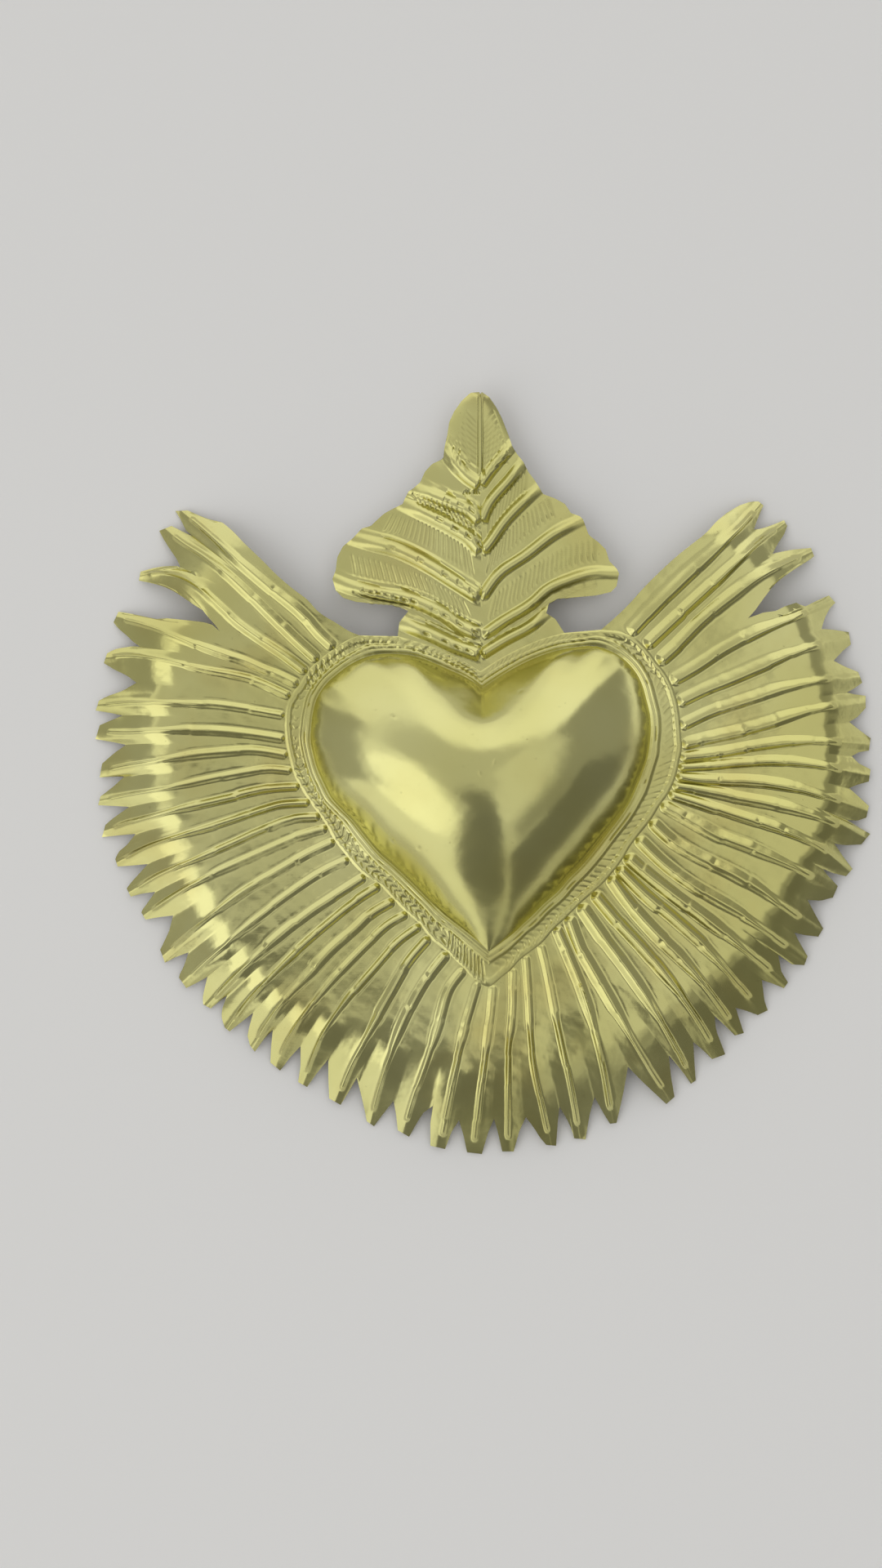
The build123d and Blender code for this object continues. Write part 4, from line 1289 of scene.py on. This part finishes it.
for name, (piece, node, finishName) in sheetPieces.items():
    finish = brassFinish[finishName]
    piece.data.materials.append(finish)
    helpers = []
    for label, strokes, halfWidth, depth, unevenDepth in markSets.get(name, []):
        level = sheet["borderTop"] + (heart["height"] if name == "heartSheet" else 0)
        helpers.append(marksObject(label, strokes, level))
        pressMarks(piece, helpers[-1], halfWidth, depth, unevenDepth, finish)
    wall = piece.modifiers.new("sheetThickness", "SOLIDIFY")
    wall.thickness = sheet["thickness"]
    wall.offset = -1
    bakeMesh(piece)
    for helper in helpers:
        bpy.data.objects.remove(helper)
    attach(piece, "charm")
    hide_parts(node)
    print(name, "has", sum(len(face.vertices) - 2 for face in piece.data.polygons), "triangles")

# The hanger on the back: a bent strap, a ring of round wire in it and solder at its feet

strap = {
    "thickness": 0.0008,
    "edgeRadius": 0.00018,
    "tunnelRadius": 0.0015,
    "bendRadius": 0.0007,            # middle line, where the feet turn into the legs
    "footPoints": 14,                # points along a foot, round its bend and round the arch
    "bendPoints": 9,
    "archPoints": 15,
    "legShares": (0.35, 0.7),
    "stations": 90,
    "endShares": (0, 0.15, 0.4, 1),  # closer stations over the rounded edge at each end
    "cornerCells": 4,
    "broadShares": (0.6, 0.2, -0.2, -0.6),   # extra points across the broad faces
    "wear": 0.012,                   # how far the edges wander, as a share of the half width
    "wearPitch": 23,
}
ring = {
    "wireRadius": 0.001,
    "jointTurn": 62.0,               # where the wire's ends meet, in degrees
    "jointGap": 0.00018,
    "sideStep": 0.00012,             # how far the two ends miss each other
    "endRound": 0.18,
    "endReach": 0.0003,
    "endShares": (0, 0.004, 0.012),  # closer rows at the wire's two ends
    "innerShares": (0.02, 0.98),
    "gripDepth": 0.000125,           # flats left by the pliers
    "grips": ((0.0022, 0.0008), (0.0042, 0.0009)),     # place and half length of each
    "gripFrom": 0.6,
    "rows": 132,
    "columns": 22,
}
solder = {
    "halfLength": 0.0012,
    "halfWidth": 0.0024,
    "height": 0.00105,
    "sink": 0.00015,                 # how far it reaches into the sheet's thickness
    "overlap": 0.0002,               # how far out from the strap's heel its middle lies
    "lumps": (2, 3, 5, 8),
    "lumpDraw": (0.03, 0.09),
    "wave": 0.08,
    "wavePitch": (2600, 3100),
    "roundness": 0.8,
    "rows": 22,
    "columns": 64,
    "seed": 9,
    "colour": (0.36, 0.36, 0.34, 1),
    "paleColour": (0.56, 0.56, 0.53, 1),
    "patches": (700, 4, 0.38, 0.62),
    "gloss": (700, 4, 0.35, 0.65),
    "roughness": (0.34, 0.6),
    "grains": (2600, 4),
    "grainShare": 0.35,
    "grainDepth": 0.0002,
}


def strapLine():
    # The strap's middle line, seen from the side, as points of (y, z)
    low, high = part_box("hanger_strap")
    middleY, footZ = (low.y + high.y) / 2, high.z - strap["thickness"] / 2
    reach = strap["tunnelRadius"] + strap["thickness"] / 2
    archZ = low.z + strap["tunnelRadius"] + strap["thickness"]
    bend = strap["bendRadius"]
    line = [(middleY + side, footZ)
            for side in np.linspace(low.y - middleY, -reach - bend, strap["footPoints"])]
    line += [(middleY - reach - bend + bend * math.cos(a), footZ - bend + bend * math.sin(a))
             for a in np.linspace(math.pi / 2, 0, strap["bendPoints"])[1:]]
    line += [(middleY - reach, footZ - bend + (archZ - footZ + bend) * share)
             for share in strap["legShares"]]
    line += [(middleY + reach * math.cos(a), archZ + reach * math.sin(a))
             for a in np.linspace(math.pi, 3 * math.pi / 2, strap["archPoints"])]
    return np.array(line + [(2 * middleY - y, z) for y, z in line[-2::-1]])


def buildStrap():
    radius, halfThick = strap["edgeRadius"], strap["thickness"] / 2
    wholeLine = strapLine()
    length = np.hypot(*np.diff(wholeLine, axis=0).T).sum()
    ends = np.array(strap["endShares"]) * radius / length
    shares = np.linspace(0, 1, strap["stations"])[1:-1]
    shares = np.concatenate([ends, shares, 1 - ends[::-1]])
    line = straightPath(wholeLine, shares)
    lean = np.gradient(line, axis=0)
    lean /= np.hypot(*lean.T)[:, None]
    toEnd = np.minimum(shares, 1 - shares) * length
    inset = radius - np.sqrt(np.maximum(0, radius ** 2 - np.maximum(0, radius - toEnd) ** 2))
    quarter = np.linspace(0, math.pi / 2, strap["cornerCells"] + 1)
    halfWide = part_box("hanger_strap")[1].x
    section = []
    for corner, (signX, signN) in enumerate(((1, 1), (-1, 1), (-1, -1), (1, -1))):
        turn = quarter + corner * math.pi / 2
        section += [(signX * (halfWide - radius) + radius * math.cos(a),
                     signN * (halfThick - radius) + radius * math.sin(a)) for a in turn]
        if corner in (0, 2):
            section += [(signX * (halfWide - radius) * share, signN * halfThick)
                        for share in strap["broadShares"]]
    across, above = np.array(section).T
    across = across[None] * (1 - inset / halfWide)[:, None]
    above = above[None] * (1 - inset / halfThick)[:, None]
    y = line[:, :1] - lean[:, 1:] * above
    z = line[:, 1:] + lean[:, :1] * above
    worn = 1 + strap["wear"] * np.sin(shares * strap["wearPitch"])[:, None] * np.sign(across)
    x = across * worn / worn.max()
    caps = [(0.0, float(line[k, 0]), float(line[k, 1])) for k in (0, -1)]
    return meshFromGrid("hangerStrap", x, y, z, ring=True, poles=caps)


def buildRing():
    low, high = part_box("hanger_ring")
    wire = ring["wireRadius"]
    radius = high.x - wire
    tilt = math.asin(((high.z - low.z) / 2 - wire) / radius)
    middle = np.array([0, (low.y + high.y) / 2, (low.z + high.z) / 2])
    sideways, outwards = np.array([1.0, 0, 0]), np.array([0, math.cos(tilt), -math.sin(tilt)])
    upwards = np.cross(sideways, outwards)
    gap = ring["jointGap"] / radius
    ends = np.array(ring["endShares"])
    shares = np.concatenate([ends, np.linspace(*ring["innerShares"], ring["rows"]),
                             1 - ends[::-1]])
    turn = math.radians(ring["jointTurn"]) + gap / 2 + shares * (2 * math.pi - gap)
    out = np.cos(turn)[:, None] * sideways + np.sin(turn)[:, None] * outwards
    line = middle + out * radius + np.outer(2 * shares - 1, upwards) * ring["sideStep"] / 2
    toEnd = np.minimum(shares, 1 - shares) * 2 * math.pi * radius
    wireReach = wire * (1 - ring["endRound"] * (1 - smoothStep(toEnd, 0, ring["endReach"])))
    phi = fullTurn(ring["columns"])
    grip = sum(bell(toEnd - spot, halfWidth) for spot, halfWidth in ring["grips"])
    flats = np.clip(np.abs(np.sin(phi)) - ring["gripFrom"], 0, 1)
    reach = wireReach[:, None] - ring["gripDepth"] * grip[:, None] * flats[None]
    points = (line[:, None] + (reach * np.cos(phi))[..., None] * out[:, None]
              + (reach * np.sin(phi))[..., None] * upwards)
    caps = [tuple(float(value) for value in line[k]) for k in (0, -1)]
    return meshFromGrid("ringWire", *np.moveaxis(points, -1, 0), ring=True, poles=caps)


def buildSolder():
    strapLow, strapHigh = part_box("hanger_strap")
    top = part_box("strap_solder")[1].z + solder["sink"]
    draw = random.Random(solder["seed"])
    theta = np.linspace(0, math.pi / 2, solder["rows"] + 1)[1:, None]
    phi = -fullTurn(solder["columns"])[None]
    pitchX, pitchY = solder["wavePitch"]
    beads = []
    for heel, side in ((strapLow.y, -1), (strapHigh.y, 1)):
        lumps = [(count, draw.uniform(0, 2 * math.pi), draw.uniform(*solder["lumpDraw"]))
                 for count in solder["lumps"]]
        rim = 1 + sum(size * np.cos(count * phi + start) for count, start, size in lumps)
        middle = float(heel + side * solder["overlap"])
        x = solder["halfWidth"] * rim * np.sin(theta) * np.cos(phi)
        y = middle + solder["halfLength"] * rim * np.sin(theta) * np.sin(phi)
        wavy = 1 + solder["wave"] * np.sin(x * pitchX + side) * np.sin(y * pitchY)
        height = (solder["height"] + solder["sink"]) * wavy
        z = top - height * np.cos(theta) ** solder["roundness"]
        z[-1] = top
        poles = [(0.0, middle, float(z[0].mean())), (0.0, middle, float(top))]
        beads.append(meshFromGrid("bead", x, y, z, ring=True, poles=poles))
    return joinPieces("strapSolder", beads)


def makeSolderFinish():
    finish, add, shader = newFinish("greySolder")
    spot = add("ShaderNodeTexCoord").outputs["Object"]
    grains = noiseAt(add, spot, *solder["grains"])
    feed(shader, {
        "Base Color": mixColour(add, pattern(add, spot, solder["patches"]), solder["colour"],
                                solder["paleColour"]),
        "Metallic": 1,
        "Roughness": pattern(add, spot, solder["gloss"], *solder["roughness"]),
        "Normal": bumpOf(add, grains, solder["grainShare"], solder["grainDepth"]),
    })
    return finish


hardware = [(buildStrap(), brassFinish["strapBrass"], "charm", "hanger_strap", "strap_brass"),
            (buildRing(), brassFinish["ringBrass"], "ring", "hanger_ring", "ring_wire"),
            (buildSolder(), makeSolderFinish(), "charm", "strap_solder", "grey_solder")]
for piece, finish, body, node, slot in hardware:
    piece.data.materials.append(finish)
    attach(piece, body)
    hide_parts(node)
print("hanger built")

# Stage, lights and camera

studio = {
    "floorColour": (0.9, 0.89, 0.865, 1),
    "floorRoughness": 0.75,
    "floorReach": 4.0,
    "softboxPlace": (-1.2, -0.6, 1.35),
    "softboxReach": 1.6,
    "softboxPower": 2.4,
}


def addFloor():
    reach = studio["floorReach"]
    floor = addMesh("floor", [(-reach, -reach, 0), (reach, -reach, 0), (reach, reach, 0),
                              (-reach, reach, 0)], [], [(0, 1, 2, 3)])
    finish, _, shader = newFinish("paleFloor")
    feed(shader, {"Base Color": studio["floorColour"], "Roughness": studio["floorRoughness"]})
    floor.data.materials.append(finish)


def addSoftbox():
    lamp = bpy.data.lights.new("softbox", "AREA")
    lamp.shape = "DISK"
    lamp.size = studio["softboxReach"]
    lamp.energy = studio["softboxPower"]
    box = addObject("softbox", lamp)
    box.location = studio["softboxPlace"]
    box.rotation_euler = (-Vector(box.location)).to_track_quat("-Z", "Y").to_euler()


# The room as the metal sees it: levels by height above the floor, from level to overhead, and
# panels given by compass direction and half width, by how far from overhead they begin and
# end, by the softness of their edges, all in degrees, and by their level

roomRamp = [(0.0, 0.6), (0.3, 0.64), (0.7, 0.64), (0.92, 0.63), (1.0, 0.61)]
roomPanels = [
    (90, 80, 54, 89, 14, 1.02),      # pale, behind
    (178, 26, 56, 89, 6, 0.42),      # dim, to the left
    (62, 28, 44, 74, 13, 1.15),      # pale, behind on the right
    (0, 60, 9, 30, 8, 0.8),          # pale, high on the right
    (0, 50, 44, 80, 9, 0.35),        # dim, to the right
    (278, 42, 56, 89, 8, 0.6),       # in front
    (207, 42, 28, 56, 3, 0.96),      # pale, to the lower left
    (230, 24, 50, 84, 4, 1.0),
    (267, 20, 12, 70, 5, 0.2),       # dark, in front
    (255, 36, 7, 16, 3, 0.21),
    (325, 28, 56, 84, 4, 0.2),       # dark, to the lower right
]
overheadLimit = 0.5                  # no panel's edge comes nearer to overhead, in degrees


def makeRoom():
    world = bpy.data.worlds.new("room")
    bpy.context.scene.world = world
    world.use_nodes = True
    world.node_tree.nodes.clear()
    add = functools.partial(addNode, world.node_tree)
    heading = add("ShaderNodeTexCoord").outputs["Generated"]
    height = add("ShaderNodeSeparateXYZ", {0: heading}).outputs["Z"]
    flat = add("ShaderNodeVectorMath", {0: heading, 1: (1, 1, 0)}, operation="MULTIPLY").outputs[0]
    compass = add("ShaderNodeVectorMath", {0: flat}, operation="NORMALIZE").outputs[0]
    ramp = add("ShaderNodeValToRGB", {0: height})
    while len(ramp.color_ramp.elements) < len(roomRamp):
        ramp.color_ramp.elements.new(0.5)
    for element, (spot, value) in zip(ramp.color_ramp.elements, roomRamp):
        element.position = spot
        element.color = (value, value, value, 1)

    def softEdge(value, begin, end):
        # From nothing to whole between two angles, for a value that is an angle's cosine
        return spread(add, value, direction(begin)[0], direction(end)[0],
                      interpolation_type="SMOOTHSTEP")

    total = ramp.outputs[0]
    for turn, halfWidth, near, far, soft, value in roomPanels:
        aside = add("ShaderNodeVectorMath", {0: compass, 1: (*direction(turn), 0)},
                    operation="DOT_PRODUCT")
        across = softEdge(aside.outputs["Value"], halfWidth + soft, halfWidth)
        rows = reckon(add, "MULTIPLY", softEdge(height, far + soft, far),
                      softEdge(height, max(overheadLimit, near - soft), near))
        total = mixColour(add, reckon(add, "MULTIPLY", across, rows), total,
                          (value, value, value, 1))
    light = add("ShaderNodeBackground", {"Color": total})
    add("ShaderNodeOutputWorld", {0: light.outputs[0]})


def addCamera():
    lens = bpy.data.cameras.new("camera")
    camera = addObject("camera", lens)
    lens.sensor_fit = "AUTO"
    lens.sensor_width = photo["sensorWidth"]
    lens.lens = (photo["sensorWidth"] * photo["cameraHeight"]
                 / (photo["framePx"][1] * metresPerPx[1]))
    camera.location = (*cameraSpot, photo["cameraHeight"])
    bpy.context.scene.camera = camera


addFloor()
addSoftbox()
makeRoom()
addCamera()
bpy.context.scene.view_settings.view_transform = "Standard"
print("studio ready")
